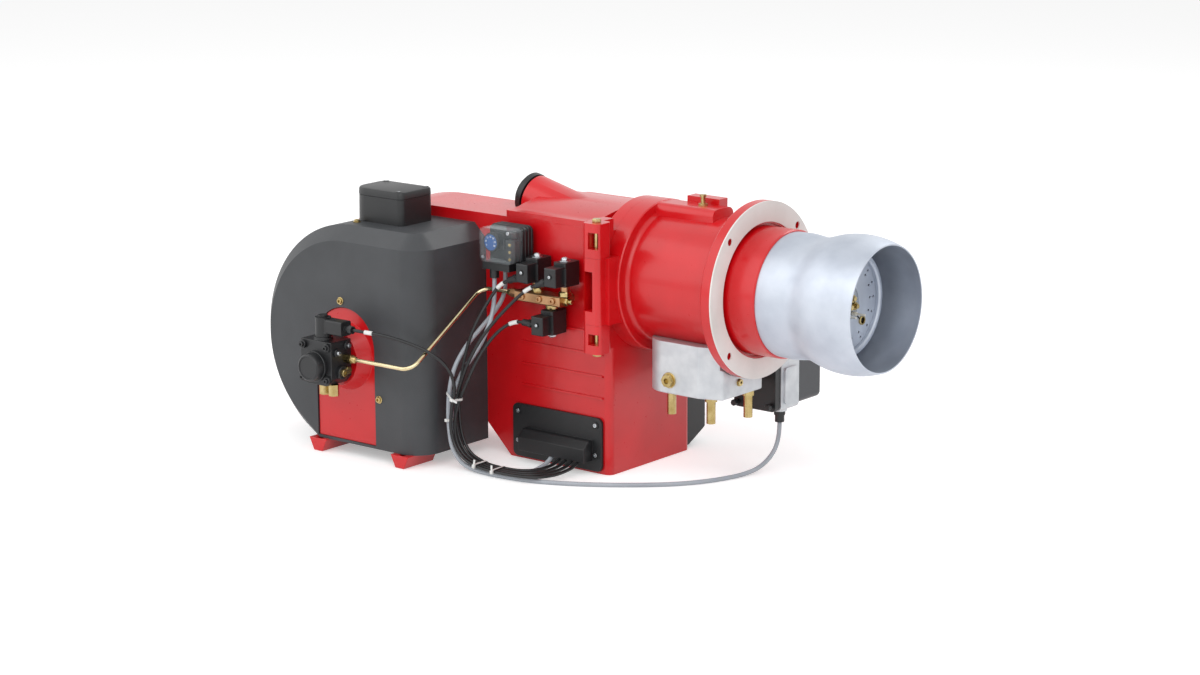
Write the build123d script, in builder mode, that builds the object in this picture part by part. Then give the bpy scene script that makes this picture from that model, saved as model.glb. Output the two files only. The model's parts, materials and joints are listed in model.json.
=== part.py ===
from build123d import *
import os
from math import cos, pi, radians, sin, sqrt, tan

# Heavy oil burner, in millimetres
# Origin: centre of the gasket face on the boiler flange
# X runs along the flame, Z is up, and the pump and valves are on the -Y side

# Fits
GAP = 0.3            # between pieces that only lie near each other
RUN_FIT = 0.05       # radial clearance of a pin or shaft in its bore

# Boiler flange and gasket
FLANGE_R = 165.0
FLANGE_T = 21.0
BOLT_INSET = 16.0
BOLT_COUNT = 4
BOLT_HOLE_R = 7.0
GASKET_T = 3.0
GASKET_BORE_R = 126.6

# Drum that joins the flange to the fan housing
JOINT_X = -262.0
DRUM_R = 121.5
DRUM_FRONT_R = 124.5
DRUM_WALL = 8.5
RING_R = 144.0
RING_T = 36.0
RECESS_R = 124.0
RECESS_DEPTH = 7.0
PAD_TOP_Z = 142.0
PAD_LENGTH = 132.0
PAD_WIDTH = 64.0
PAD_ROUND = 14.0
PAD_BLOCK_X = -154.0
PAD_BLOCK_Y = 32.0
PAD_BLOCK_L = 74.0
PAD_BLOCK_W = 26.0
PAD_BLOCK_H = 11.0
NIPPLE_X = -140.0
BOSS_R = 9.0

# Hinge at the joint plane
PIN_Y = -163.0
PIN_R = 6.0
KNUCKLE = 40.0
KNUCKLE_CORNER = 10.0
HINGE_TOP_Z = 121.0
HINGE_UPPER_Z = 56.0
HINGE_LOWER_Z = -70.0
HINGE_BOTTOM_Z = -125.0
HINGE_RELIEF_R = 27.0
WINDOW_W = 22.0
WINDOW_SHIFT = 6.0
WINDOW_MARGIN = 17.0
WINDOW_DEPTH = 28.0
PIN_HEAD_R = 9.0
PIN_HEAD_H = 7.0

# Collar and flame tube
COLLAR_R = 119.0
COLLAR_WALL = 9.0
COLLAR_END_X = 62.0
COLLAR_SEAT_X = -60.0
SPIGOT_LENGTH = 18.0
TUBE_WALL = 2.5
TUBE_START_R = 115.5
TUBE_WAIST_X = 128.0
TUBE_WAIST_R = 112.8
TUBE_FLARE_X = 166.0
TUBE_FLARE_R = 122.5
TUBE_BULGE_X = 212.0
TUBE_BULGE_R = 127.7
TUBE_END_X = 268.0
TUBE_MOUTH_R = 117.0

# Mixing head inside the flame tube
DISC_X = 185.0
DISC_R = 87.0
DISC_T = 2.0
DISC_HOLE_R = 2.2
DISC_HOLE_PAIRS = 18
DISC_INNER_ROW_R = 68.0
DISC_OUTER_ROW_R = 79.0
DISC_EYE_R = 32.0
SHROUD_R = 98.0
SHROUD_T = 11.0
LANCE_R = 12.0
LANCE_START_X = -236.0
SPIDER_X = 20.0
SPIDER_T = 8.0
NOZZLE_R = 8.0
NOZZLE_LENGTH = 24.0
ELECTRODE_R = 2.0
ELECTRODE_OFFSET = 26.0

# Oil regulator block under the drum
BLOCK_TOP_Z = -112.0
BLOCK_BOTTOM_Z = -198.0
BLOCK_X0 = -206.0
BLOCK_GAP = 6.0
BLOCK_Y0 = -100.0
BLOCK_Y1 = 44.0
BLOCK_CORNER = 48.0
BLOCK_CUT_X = 46.0
BLOCK_CUT_Y = 16.0
BLOCK_PLUG_X = -142.0
BLOCK_PLUG_Z = -172.0
BLOCK_PLUG_R = 13.0
BLOCK_PLUG_H = 8.0
BLOCK_WASHER_R = 15.0
BLOCK_WASHER_T = 2.0
BLOCK_SCREW_Y = -34.0
NIPPLE_R = 8.5
NIPPLE_BORE_R = 5.5
NIPPLE_LENGTH = 54.0
NIPPLE_COLLAR = 3.0
NIPPLE_COLLAR_H = 12.0
NIPPLE_PLACES = ((-178.0, -45.0), (-75.0, -60.0), (-50.0, 22.0))

# Servo motor that turns the regulator
SERVO_Y0 = 76.0
SERVO_X0 = -122.0
SERVO_X1 = -26.0
SERVO_TOP_Z = -142.0
SERVO_BOTTOM_Z = -252.0
SERVO_FRONT_T = 16.0
SERVO_CAST_T = 58.0
SERVO_COVER_T = 78.0
GEAR_MARGIN = 22.0
GEAR_SEAT = 5.0
GEAR_T = 40.0
GEAR_MOTOR_R = 28.0
GEAR_MOTOR_L = 52.0
SPINDLE_R = 7.0
SPINDLE_Z = -172.0
GLAND_R = 11.0
GLAND_H = 22.0

# Fan housing and the duct box in front of it
BOX_HALF_Y = 125.0
BOX_BOTTOM_Z = -371.0
BOX_BACK_X = -575.0
BOX_CUT = 68.0
BOX_TOP_Z = 98.0
HOUSING_WALL = 8.0
FRONT_RING_T = 25.0
BOX_CORNER = 14.0
SCROLL_BACK_Y = 15.0
SCROLL_R = 212.0
SCROLL_X = -757.0
SCROLL_Z = -150.0
SCROLL_TOP_X = -742.0
RIB_T = 3.0
RIB_LENGTH = 200.0
RIB_PITCH = 42.0
RIB_COUNT = 4
RIB_TOP_Z = -98.0
RIB_X = -378.0
RIB_H = 4.0

# Top cover with its slanted sight tube
COVER_BACK_X = -520.0
COVER_EDGE_H = 12.0
COVER_CROWN = 16.0
SIGHT_R = 42.0
SIGHT_TILT = 14.3
SIGHT_OVERHANG = 46.0
SIGHT_END_Z = 121.0
SIGHT_CAP_T = 22.0

# Intake hood
HOOD_X = -757.0
HOOD_Z = -150.0
HOOD_R = 228.0
HOOD_SIDE_X = -565.0
HOOD_FRONT_Y = -320.0
HOOD_BOTTOM_Z = -346.0
HOOD_WALL = 5.0
HOOD_CORNER = 52.0
HOOD_CHAMFER = 28.0
HOOD_ARC_DROP = 183.0
HOOD_TOE_RUN = 3.3
ARCH_R = 75.0
ARCH_Z = -155.0
ARCH_GAP = 1.2
INTAKE_W = 150.0
INTAKE_D = 100.0
INTAKE_Y = -210.0

# Motor, shaft and fan on one axis
SHAFT_Z = -172.0
SHAFT_R = 12.0
MOTOR_R = 78.0
MOTOR_STAND = 35.0
MOTOR_FOOT_R = 96.0
MOTOR_POST_R = 7.0
EYE_R = 84.0
FAN_R = 150.0
FAN_EYE_R = 96.0
FAN_GAP = 5.0
FAN_W = 96.0
FAN_BLADES = 22
FAN_BLADE_T = 2.4
FAN_PLATE_T = 3.0
COUPLING_R = 16.0
COUPLING_LENGTH = 26.0

# Red intake panel that carries the pump
PANEL_T = 10.0
PANEL_LAP = 10.0
PANEL_Y = -317.0
PUMP_BOSS_R = 68.0
PUMP_BOSS_TOP_R = 54.0
PUMP_SEAT_Y = -345.0

# Feet
FOOT_X = (-826.0, -612.0)
FOOT_Y0 = -330.0
FOOT_LENGTH = 84.0
FOOT_W = 22.0
FOOT_TOP_W = 46.0
FOOT_WALL = 4.0

# Motor terminal box
TERMINAL_X0 = -796.0
TERMINAL_X1 = -666.0
TERMINAL_Y0 = -252.0
TERMINAL_Y1 = -158.0
TERMINAL_TOP_Z = 143.0
TERMINAL_CORNER = 14.0

# Oil pump
PUMP_W = 80.0
PUMP_H = 86.0
PUMP_D = 55.0
PUMP_CHAMFER = 14.0
PUMP_COVER_R = 29.5
PUMP_COVER_D = 25.0
PUMP_COVER_DROP = 6.0
PUMP_PORT_R = 10.5
PUMP_PORT_H = 22.0
PUMP_PORT_PITCH = 24.0
PUMP_PORT_BORE_R = 5.0
PUMP_SIDE_PLUG_R = 8.0
PUMP_SIDE_PLUG_DROP = 23.0
PUMP_COIL_R = 15.5
PUMP_COIL_H = 38.0
PUMP_COIL_Y = -378.0
PUMP_PLUG_L = 40.0
PUMP_OUT_Y = -362.0
PUMP_OUT_Z = -164.0

# Oil pipe from the pump to the valves
PIPE_R = 4.0
PIPE_BEND_R = 24.0
PIPE_X = -548.0
PIPE_NUT_R = 9.0
PIPE_NUT_L = 20.0

# Solenoid valves on the housing's side
VALVE_STAND = 33.0
VALVE_Z = -39.0
VALVE_X0 = -452.0
VALVE_X1 = -342.0
VALVE_H = 20.0
VALVE_D = 34.0
COIL_W = 30.0
COIL_D = 45.0
COIL_H = 46.0
COIL_STEM_R = 9.0
COIL_STEM_H = 20.0
HANGING_STEM_H = 10.0
COIL_NUT_R = 9.0
COIL_NUT_H = 6.0
COIL_X = (-410.0, -342.0, -374.0)
PLUG_W = 28.0
PLUG_D = 28.0
PLUG_H = 36.0
PLUG_GLAND_R = 6.5
PLUG_GLAND_L = 30.0
PUMP_GLAND_L = 16.0
GLAND_TILT = 20.0
GLAND_RISE = 8.0

# Air pressure switch
SWITCH_X = -478.0
SWITCH_Z = 49.0
SWITCH_W = 82.0
SWITCH_H = 80.0
SWITCH_BODY_D = 30.0
SWITCH_COVER_D = 32.0
SWITCH_STAND = 11.0
SWITCH_CORNER = 10.0
SWITCH_WALL = 2.0
CHIN_H = 14.0
DIAL_R = 18.0
DIAL_T = 8.0
DIAL_X = -494.0
DIAL_Z = 60.0

# Cable entry plate
PLATE_X0 = -496.0
PLATE_X1 = -278.0
PLATE_Z0 = -366.0
PLATE_Z1 = -262.0
PLATE_T = 7.0
PLATE_CORNER = 12.0
VISOR_X0 = -462.0
VISOR_X1 = -300.0
VISOR_Z0 = -346.0
VISOR_Z1 = -306.0
VISOR_D = 26.0
VISOR_WALL = 3.0

# Air damper and its drive
DAMPER_X = -320.0
DAMPER_Z = -212.0
DAMPER_R = 7.0
FLAP_W = 84.0
FLAP_T = 3.0
DRIVE_X0 = -352.0
DRIVE_X1 = -272.0
DRIVE_Z0 = -366.0
DRIVE_Z1 = -170.0
DRIVE_D = 67.0
DRIVE_CUT_Y = 58.0
DRIVE_CUT_Z = 30.0

# Screws
SCREW_R = 6.5
SCREW_H = 6.0
SMALL_SCREW_R = 4.0
SMALL_SCREW_H = 2.5

# Cables
BLACK_R = 3.25
GREY_R = 4.25

ring_front_x = JOINT_X + RING_T
flange_back_x = -GASKET_T - FLANGE_T
bolt_circle_r = FLANGE_R - BOLT_INSET
drum_bore_r = DRUM_R - DRUM_WALL
housing_front_x = JOINT_X - GAP
cover_front_x = housing_front_x - FRONT_RING_T
valve_y = -BOX_HALF_Y - VALVE_STAND
hood_back_y = -BOX_HALF_Y
motor_back_y = -BOX_HALF_Y - MOTOR_STAND
fan_front_y = -BOX_HALF_Y + HOUSING_WALL + FAN_GAP

os.makedirs("parts", exist_ok=True)


def finish(piece, name):
    piece.part.label = name
    export_step(piece.part, f"parts/{name}.step")


# Gasket
with BuildPart() as gasket:
    with BuildSketch(Plane.YZ.offset(-GASKET_T)):
        Circle(FLANGE_R)
        Circle(GASKET_BORE_R, mode=Mode.SUBTRACT)
        with PolarLocations(bolt_circle_r, BOLT_COUNT, start_angle=45):
            Circle(BOLT_HOLE_R, mode=Mode.SUBTRACT)
    extrude(amount=GASKET_T)
finish(gasket, "gasket")

# Drum: flange, barrel, joint ring, top pad and the middle hinge knuckle
with BuildPart() as drum:
    with BuildSketch(Plane.XZ) as profile:
        with BuildLine():
            Polyline(
                (JOINT_X, drum_bore_r),
                (JOINT_X, RING_R),
                (ring_front_x, RING_R),
                (ring_front_x, DRUM_R),
                (flange_back_x, DRUM_FRONT_R),
                (flange_back_x, FLANGE_R),
                (-GASKET_T, FLANGE_R),
                (-GASKET_T, RECESS_R),
                (-GASKET_T - RECESS_DEPTH, RECESS_R),
                (-GASKET_T - RECESS_DEPTH, COLLAR_R + GAP),
                (COLLAR_SEAT_X, COLLAR_R + GAP),
                (COLLAR_SEAT_X, drum_bore_r),
                close=True,
            )
        make_face()
        fillet(profile.vertices().sort_by_distance((ring_front_x, DRUM_R))[0], 9)
        fillet(profile.vertices().sort_by_distance((flange_back_x, DRUM_FRONT_R))[0],
               min(14, (FLANGE_R - DRUM_FRONT_R) / 2.5))
        fillet(profile.vertices().sort_by_distance((ring_front_x, RING_R))[0], 3)
        fillet(profile.vertices().sort_by_distance((flange_back_x, FLANGE_R))[0], 3)
    revolve(axis=Axis.X)
    with BuildSketch(Plane.YZ.offset(ring_front_x - RING_T / 2)) as pad:
        with Locations((0, drum_bore_r)):
            Rectangle(PAD_WIDTH, PAD_TOP_Z - drum_bore_r, align=(Align.CENTER, Align.MIN))
        fillet(pad.vertices().group_by(Axis.Y)[-1], PAD_ROUND)
    extrude(amount=PAD_LENGTH + RING_T / 2)
    with Locations((PAD_BLOCK_X, PAD_BLOCK_Y, PAD_TOP_Z - PAD_ROUND)):
        Box(PAD_BLOCK_L, PAD_BLOCK_W, PAD_BLOCK_H + PAD_ROUND, align=(Align.CENTER, Align.CENTER, Align.MIN))
    with BuildSketch(Plane.XY.offset(HINGE_LOWER_Z + GAP)):
        with Locations((JOINT_X, PIN_Y)):
            RectangleRounded(KNUCKLE, KNUCKLE, KNUCKLE_CORNER)
        with Locations((JOINT_X, PIN_Y)):
            Rectangle(RING_T * 0.8, -PIN_Y - drum_bore_r + 12, align=(Align.MIN, Align.MIN))
    extrude(amount=HINGE_UPPER_Z - HINGE_LOWER_Z - 2 * GAP)
    with Locations((JOINT_X, 0, 0)):
        Cylinder(drum_bore_r, COLLAR_SEAT_X - JOINT_X, rotation=(0, 90, 0),
                 align=(Align.CENTER, Align.CENTER, Align.MIN), mode=Mode.SUBTRACT)
    with BuildSketch(Plane.XZ.offset(-PIN_Y + KNUCKLE / 2)):
        with Locations((JOINT_X - WINDOW_SHIFT, (HINGE_UPPER_Z + HINGE_LOWER_Z) / 2)):
            Rectangle(WINDOW_W, HINGE_UPPER_Z - HINGE_LOWER_Z - 3 * WINDOW_MARGIN)
    extrude(amount=-WINDOW_DEPTH, mode=Mode.SUBTRACT)
    with Locations((JOINT_X, PIN_Y, 0)):
        Cylinder(PIN_R + RUN_FIT, 4 * KNUCKLE, mode=Mode.SUBTRACT)
    with BuildSketch(Plane.YZ):
        with PolarLocations(bolt_circle_r, BOLT_COUNT, start_angle=45):
            Circle(BOLT_HOLE_R)
    extrude(amount=flange_back_x - 1, mode=Mode.SUBTRACT)
finish(drum, "drum")

# Pressure test nipple on the drum's pad
with BuildPart() as test_nipple:
    with Locations((NIPPLE_X, 0, PAD_TOP_Z)):
        Cylinder(BOSS_R, 4, align=(Align.CENTER, Align.CENTER, Align.MIN))
        Cylinder(4.5, 17, align=(Align.CENTER, Align.CENTER, Align.MIN))
    with Locations((NIPPLE_X, 0, PAD_TOP_Z + 17)):
        Cylinder(6.5, 4, align=(Align.CENTER, Align.CENTER, Align.MIN))
finish(test_nipple, "test_nipple")

# Collar that carries the flame tube
with BuildPart() as collar:
    with BuildSketch(Plane.XZ):
        with BuildLine():
            Polyline(
                (COLLAR_SEAT_X, COLLAR_R - COLLAR_WALL),
                (COLLAR_SEAT_X, COLLAR_R),
                (COLLAR_END_X, COLLAR_R),
                (COLLAR_END_X, TUBE_START_R - TUBE_WALL - GAP),
                (COLLAR_END_X + SPIGOT_LENGTH, TUBE_START_R - TUBE_WALL - GAP),
                (COLLAR_END_X + SPIGOT_LENGTH, COLLAR_R - COLLAR_WALL),
                close=True,
            )
        make_face()
    revolve(axis=Axis.X)
    chamfer(collar.edges().filter_by(GeomType.CIRCLE).filter_by_position(Axis.X, COLLAR_END_X - 1,
            COLLAR_END_X + 1).sort_by(SortBy.RADIUS)[-1], 2)
finish(collar, "flame_tube_collar")


def tube_line(wall):
    # Side of the flame tube, moved inwards by the wall
    return [
        (COLLAR_END_X, TUBE_START_R - wall),
        (95, TUBE_START_R + 0.3 - wall),
        (TUBE_WAIST_X, TUBE_WAIST_R - wall),
        (TUBE_FLARE_X, TUBE_FLARE_R - wall),
        (TUBE_BULGE_X, TUBE_BULGE_R - wall),
        (TUBE_END_X, TUBE_MOUTH_R - wall),
    ]


# Flame tube with a waist and a bulged mouth
with BuildPart() as flame_tube:
    with BuildSketch(Plane.XZ):
        with BuildLine():
            outer = Spline(*tube_line(0), tangents=[(1, 0), (1, -0.35)])
            inner = Spline(*tube_line(TUBE_WALL), tangents=[(1, 0), (1, -0.35)])
            Line(outer @ 0, inner @ 0)
            Line(outer @ 1, inner @ 1)
        make_face()
    revolve(axis=Axis.X)
finish(flame_tube, "flame_tube")

# Diffuser disc with its rows of small air holes
with BuildPart() as disc:
    with BuildSketch(Plane.YZ.offset(DISC_X)):
        Circle(DISC_R)
        Circle(DISC_EYE_R, mode=Mode.SUBTRACT)
        for row_r in (DISC_INNER_ROW_R, DISC_OUTER_ROW_R):
            with PolarLocations(row_r, DISC_HOLE_PAIRS):
                Circle(DISC_HOLE_R, mode=Mode.SUBTRACT)
        with PolarLocations(SHROUD_R / 2 + 8, 1, start_angle=-42):
            Circle(7.5, mode=Mode.SUBTRACT)
    extrude(amount=DISC_T)
finish(disc, "diffuser_disc")

# Shroud ring round the disc
with BuildPart() as shroud:
    with BuildSketch(Plane.XZ) as section:
        with Locations((DISC_X, DISC_R + GAP)):
            Rectangle(SHROUD_T + 20, SHROUD_R - DISC_R - GAP, align=(Align.MAX, Align.MIN))
        with Locations((DISC_X, DISC_R + GAP)):
            Rectangle(SHROUD_T, SHROUD_R - DISC_R - GAP, align=(Align.MIN, Align.MIN))
        chamfer(section.vertices().group_by(Axis.X)[-1], 3)
    revolve(axis=Axis.X)
    with BuildSketch(Plane.XZ):
        with Locations((DISC_X - 20, 0)):
            Rectangle(SHROUD_T + 9, SHROUD_R - 2.5, align=(Align.MAX, Align.MIN))
    revolve(axis=Axis.X, mode=Mode.SUBTRACT)
finish(shroud, "diffuser_ring")

# Lance: oil tube, head boss that holds the disc, and the spider in the collar
with BuildPart() as lance:
    with Locations((LANCE_START_X, 0, 0)):
        Cylinder(LANCE_R, DISC_X - 10 - LANCE_START_X, rotation=(0, 90, 0),
                 align=(Align.CENTER, Align.CENTER, Align.MIN))
    with BuildSketch(Plane.YZ.offset(SPIDER_X)):
        Circle(LANCE_R + 10)
        Circle(COLLAR_R - COLLAR_WALL - GAP)
        Circle(COLLAR_R - COLLAR_WALL - 10, mode=Mode.SUBTRACT)
        with PolarLocations(COLLAR_R / 2, 3, start_angle=90):
            Rectangle(COLLAR_R - 28, 10)
        Circle(LANCE_R + 10)
    extrude(amount=SPIDER_T)
    with BuildSketch(Plane.YZ.offset(DISC_X - 20)):
        Circle(DISC_EYE_R - GAP)
    extrude(amount=22)
    with BuildSketch(Plane.YZ.offset(DISC_X - 8)):
        Circle(DISC_EYE_R + 6)
        with PolarLocations(DISC_R / 2, 3, start_angle=30):
            Rectangle(DISC_R - 1, 9)
    extrude(amount=8)
finish(lance, "nozzle_lance")

# Three oil nozzles in the head boss
with BuildPart() as nozzles:
    with BuildSketch(Plane.YZ.offset(DISC_X + DISC_T)):
        with PolarLocations(10, 3, start_angle=90):
            RegularPolygon(NOZZLE_R, 6)
    extrude(amount=NOZZLE_LENGTH * 0.4)
    with BuildSketch(Plane.YZ.offset(DISC_X + DISC_T + NOZZLE_LENGTH * 0.4)):
        with PolarLocations(10, 3, start_angle=90):
            Circle(NOZZLE_R * 0.55)
    extrude(amount=5)
finish(nozzles, "oil_nozzles")

# Ignition electrodes beside the nozzles
with BuildPart() as electrodes:
    with Locations((DISC_X + DISC_T, -ELECTRODE_OFFSET * 0.55, -ELECTRODE_OFFSET * 0.8),
                   (DISC_X + DISC_T, ELECTRODE_OFFSET * 0.55, -ELECTRODE_OFFSET * 0.8)):
        Cylinder(4, 8, rotation=(0, 90, 0), align=(Align.CENTER, Align.CENTER, Align.MIN))
        Cylinder(ELECTRODE_R, 26, rotation=(0, 90, 0), align=(Align.CENTER, Align.CENTER, Align.MIN))
finish(electrodes, "electrodes")

# Oil regulator block
block_x1 = flange_back_x - BLOCK_GAP
with BuildPart() as block:
    with BuildSketch(Plane.XY.offset(BLOCK_BOTTOM_Z)) as outline:
        with BuildLine():
            Polyline(
                (BLOCK_X0, BLOCK_Y0),
                (block_x1 - BLOCK_CUT_X, BLOCK_Y0),
                (block_x1, BLOCK_Y0 + BLOCK_CUT_Y),
                (block_x1, BLOCK_Y1),
                (BLOCK_X0, BLOCK_Y1),
                close=True,
            )
        make_face()
        fillet(outline.vertices().sort_by_distance((BLOCK_X0, BLOCK_Y0))[0], BLOCK_CORNER)
        fillet(outline.vertices().sort_by_distance((block_x1 - BLOCK_CUT_X, BLOCK_Y0))[0], 14)
        fillet(outline.vertices().sort_by_distance((block_x1, BLOCK_Y0 + BLOCK_CUT_Y))[0], 6)
        fillet(outline.vertices().sort_by_distance((BLOCK_X0, BLOCK_Y1))[0], 10)
        fillet(outline.vertices().sort_by_distance((block_x1, BLOCK_Y1))[0], 10)
    extrude(amount=BLOCK_TOP_Z - BLOCK_BOTTOM_Z + 45)
    with BuildSketch(Plane.XZ) as saddle:
        with BuildLine():
            Polyline(
                (JOINT_X, 0),
                (JOINT_X, DRUM_R + GAP),
                (ring_front_x + 12, DRUM_R + GAP),
                (flange_back_x - 12, DRUM_FRONT_R + GAP),
                (flange_back_x - 12, FLANGE_R),
                (0, FLANGE_R),
                (0, 0),
                close=True,
            )
        make_face()
    revolve(axis=Axis.X, mode=Mode.SUBTRACT)
    with Locations((0, 0, BLOCK_TOP_Z + 12)):
        Box(3 * FLANGE_R, 3 * FLANGE_R, 100, align=(Align.CENTER, Align.CENTER, Align.MIN),
            mode=Mode.SUBTRACT)
    fillet(block.faces().sort_by(Axis.Z)[0].edges(), 3)
    with Locations((0, BLOCK_Y1, SPINDLE_Z)):
        with Locations(((SERVO_X0 + SERVO_X1) / 2, 0, 0)):
            Cylinder(SPINDLE_R + RUN_FIT, 60, rotation=(90, 0, 0), mode=Mode.SUBTRACT)
finish(block, "oil_regulator_block")

# Brass hexagon plug on its washer, and a screw in the block's front face
with BuildPart() as block_plugs:
    with BuildSketch(Plane.XZ.offset(-BLOCK_Y0)):
        with Locations((BLOCK_PLUG_X, BLOCK_PLUG_Z)):
            Circle(BLOCK_WASHER_R)
    extrude(amount=BLOCK_WASHER_T)
    with BuildSketch(Plane.XZ.offset(-BLOCK_Y0 + BLOCK_WASHER_T)):
        with Locations((BLOCK_PLUG_X, BLOCK_PLUG_Z)):
            RegularPolygon(BLOCK_PLUG_R, 6)
    extrude(amount=BLOCK_PLUG_H)
    chamfer(block_plugs.faces().sort_by(Axis.Y)[0].edges(), BLOCK_WASHER_T / 2)
    with BuildSketch(Plane.YZ.offset(block_x1)):
        with Locations((BLOCK_SCREW_Y, BLOCK_PLUG_Z)):
            Circle(SCREW_R)
    extrude(amount=BLOCK_GAP - 1)
finish(block_plugs, "regulator_plugs")

# Open hose nipples below the block
with BuildPart() as hose_nipples:
    with Locations(*[(x, y, BLOCK_BOTTOM_Z) for x, y in NIPPLE_PLACES]):
        Cylinder(NIPPLE_R, NIPPLE_LENGTH, align=(Align.CENTER, Align.CENTER, Align.MAX))
        Cylinder(NIPPLE_R + NIPPLE_COLLAR, NIPPLE_COLLAR_H, align=(Align.CENTER, Align.CENTER, Align.MAX))
        Cylinder(NIPPLE_BORE_R, NIPPLE_LENGTH, align=(Align.CENTER, Align.CENTER, Align.MAX),
                 mode=Mode.SUBTRACT)
finish(hose_nipples, "hose_nipples")

servo_x = (SERVO_X0 + SERVO_X1) / 2
servo_z = (SERVO_TOP_Z + SERVO_BOTTOM_Z) / 2
servo_w = SERVO_X1 - SERVO_X0
servo_h = SERVO_TOP_Z - SERVO_BOTTOM_Z
cast_y = SERVO_Y0 + SERVO_FRONT_T
servo_cover_y = cast_y + SERVO_CAST_T

# Servo motor: black front frame
with BuildPart() as servo_front:
    with BuildSketch(Plane.XZ.offset(-SERVO_Y0)):
        with Locations((servo_x, servo_z)):
            RectangleRounded(servo_w, servo_h, 9)
    extrude(amount=-SERVO_FRONT_T)
    with BuildSketch(Plane.XZ.offset(-SERVO_Y0 + 8)):
        with Locations((servo_x, SPINDLE_Z)):
            Circle(SPINDLE_R + 12)
    extrude(amount=-8)
    with BuildSketch(Plane.XZ.offset(-SERVO_Y0)):
        with Locations((SERVO_X1 - 9, SERVO_TOP_Z - 9), (SERVO_X1 - 9, SERVO_BOTTOM_Z + 9)):
            Circle(3)
    extrude(amount=1)
    with Locations((servo_x, SERVO_Y0, SPINDLE_Z)):
        Cylinder(SPINDLE_R + RUN_FIT, 80, rotation=(90, 0, 0), mode=Mode.SUBTRACT)
finish(servo_front, "servo_front")

# Servo motor: cast body, open towards the cover
with BuildPart() as servo_cast:
    with BuildSketch(Plane.XZ.offset(-cast_y)):
        with Locations((servo_x, servo_z)):
            RectangleRounded(servo_w + 4, servo_h + 4, 11)
    extrude(amount=-SERVO_CAST_T)
    offset(amount=-GEAR_SEAT, openings=servo_cast.faces().sort_by(Axis.Y)[-1])
    with BuildSketch(Plane.YZ.offset(SERVO_X1)):
        with Locations((cast_y + SERVO_CAST_T / 2, servo_z - 8)):
            RectangleRounded(SERVO_CAST_T - 16, servo_h - 40, 6)
    extrude(amount=6)
    with Locations((SERVO_X1 - 18, cast_y + 24, SERVO_BOTTOM_Z + 1)):
        Cylinder(GLAND_R + 3, 6, align=(Align.CENTER, Align.CENTER, Align.MAX))
finish(servo_cast, "servo_body")

# Servo motor: cover
with BuildPart() as servo_cover:
    with BuildSketch(Plane.XZ.offset(-servo_cover_y)):
        with Locations((servo_x, servo_z + 2)):
            RectangleRounded(servo_w, servo_h - 2, 12)
    extrude(amount=-SERVO_COVER_T)
    fillet(servo_cover.faces().sort_by(Axis.Y)[-1].edges(), 8)
    offset(amount=-3, openings=servo_cover.faces().sort_by(Axis.Y)[0])
finish(servo_cover, "servo_cover")

# Servo motor: the gear motor inside, with the regulator spindle on its output
with BuildPart() as servo_motor:
    with BuildSketch(Plane.XZ.offset(-cast_y - GEAR_SEAT)):
        with Locations((servo_x, servo_z)):
            RectangleRounded(servo_w - GEAR_MARGIN, servo_h - GEAR_MARGIN, 6)
    extrude(amount=-GEAR_T)
    with BuildSketch(Plane.XZ.offset(-cast_y - GEAR_SEAT - GEAR_T)):
        with Locations((servo_x, servo_z - 6)):
            Circle(GEAR_MOTOR_R)
    extrude(amount=-GEAR_MOTOR_L)
finish(servo_motor, "servo_gear_motor")

with BuildPart() as spindle:
    with Locations((servo_x, BLOCK_Y1 - 28, SPINDLE_Z)):
        Cylinder(SPINDLE_R, cast_y - BLOCK_Y1 + 28, rotation=(-90, 0, 0),
                 align=(Align.CENTER, Align.CENTER, Align.MIN))
    with Locations((servo_x, BLOCK_Y1 + 8, SPINDLE_Z)):
        Cylinder(SPINDLE_R + 6, 12, rotation=(-90, 0, 0),
                 align=(Align.CENTER, Align.CENTER, Align.MIN))
    with Locations((servo_x + 4, BLOCK_Y1 + 14, SPINDLE_Z)):
        Box(26, 4, 5, align=(Align.MIN, Align.CENTER, Align.CENTER))
finish(spindle, "regulator_spindle")

# Gland for the servo's cable
with BuildPart() as servo_gland:
    with BuildSketch(Plane.XY.offset(SERVO_BOTTOM_Z - 5)):
        with Locations((SERVO_X1 - 18, cast_y + 24)):
            RegularPolygon(GLAND_R + 1, 6)
            Circle(GREY_R, mode=Mode.SUBTRACT)
    extrude(amount=-8)
    with BuildSketch(Plane.XY.offset(SERVO_BOTTOM_Z - 13)):
        with Locations((SERVO_X1 - 18, cast_y + 24)):
            Circle(GLAND_R - 2)
            Circle(GREY_R, mode=Mode.SUBTRACT)
    extrude(amount=-GLAND_H + 8)
finish(servo_gland, "servo_gland")

# Hinge pin with a hexagon head at each end
with BuildPart() as hinge_pin:
    with Locations((JOINT_X, PIN_Y, HINGE_BOTTOM_Z)):
        Cylinder(PIN_R, HINGE_TOP_Z - HINGE_BOTTOM_Z + PIN_HEAD_H,
                 align=(Align.CENTER, Align.CENTER, Align.MIN))
    with BuildSketch(Plane.XY.offset(HINGE_TOP_Z)):
        with Locations((JOINT_X, PIN_Y)):
            RegularPolygon(PIN_HEAD_R, 6)
    extrude(amount=PIN_HEAD_H)
    with BuildSketch(Plane.XY.offset(HINGE_BOTTOM_Z)):
        with Locations((JOINT_X, PIN_Y)):
            RegularPolygon(PIN_HEAD_R, 6)
    extrude(amount=-PIN_HEAD_H)
    chamfer(hinge_pin.faces().sort_by(Axis.Z)[-1].edges(), 1.2)
    chamfer(hinge_pin.faces().sort_by(Axis.Z)[0].edges(), 1.2)
finish(hinge_pin, "hinge_pin")


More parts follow.
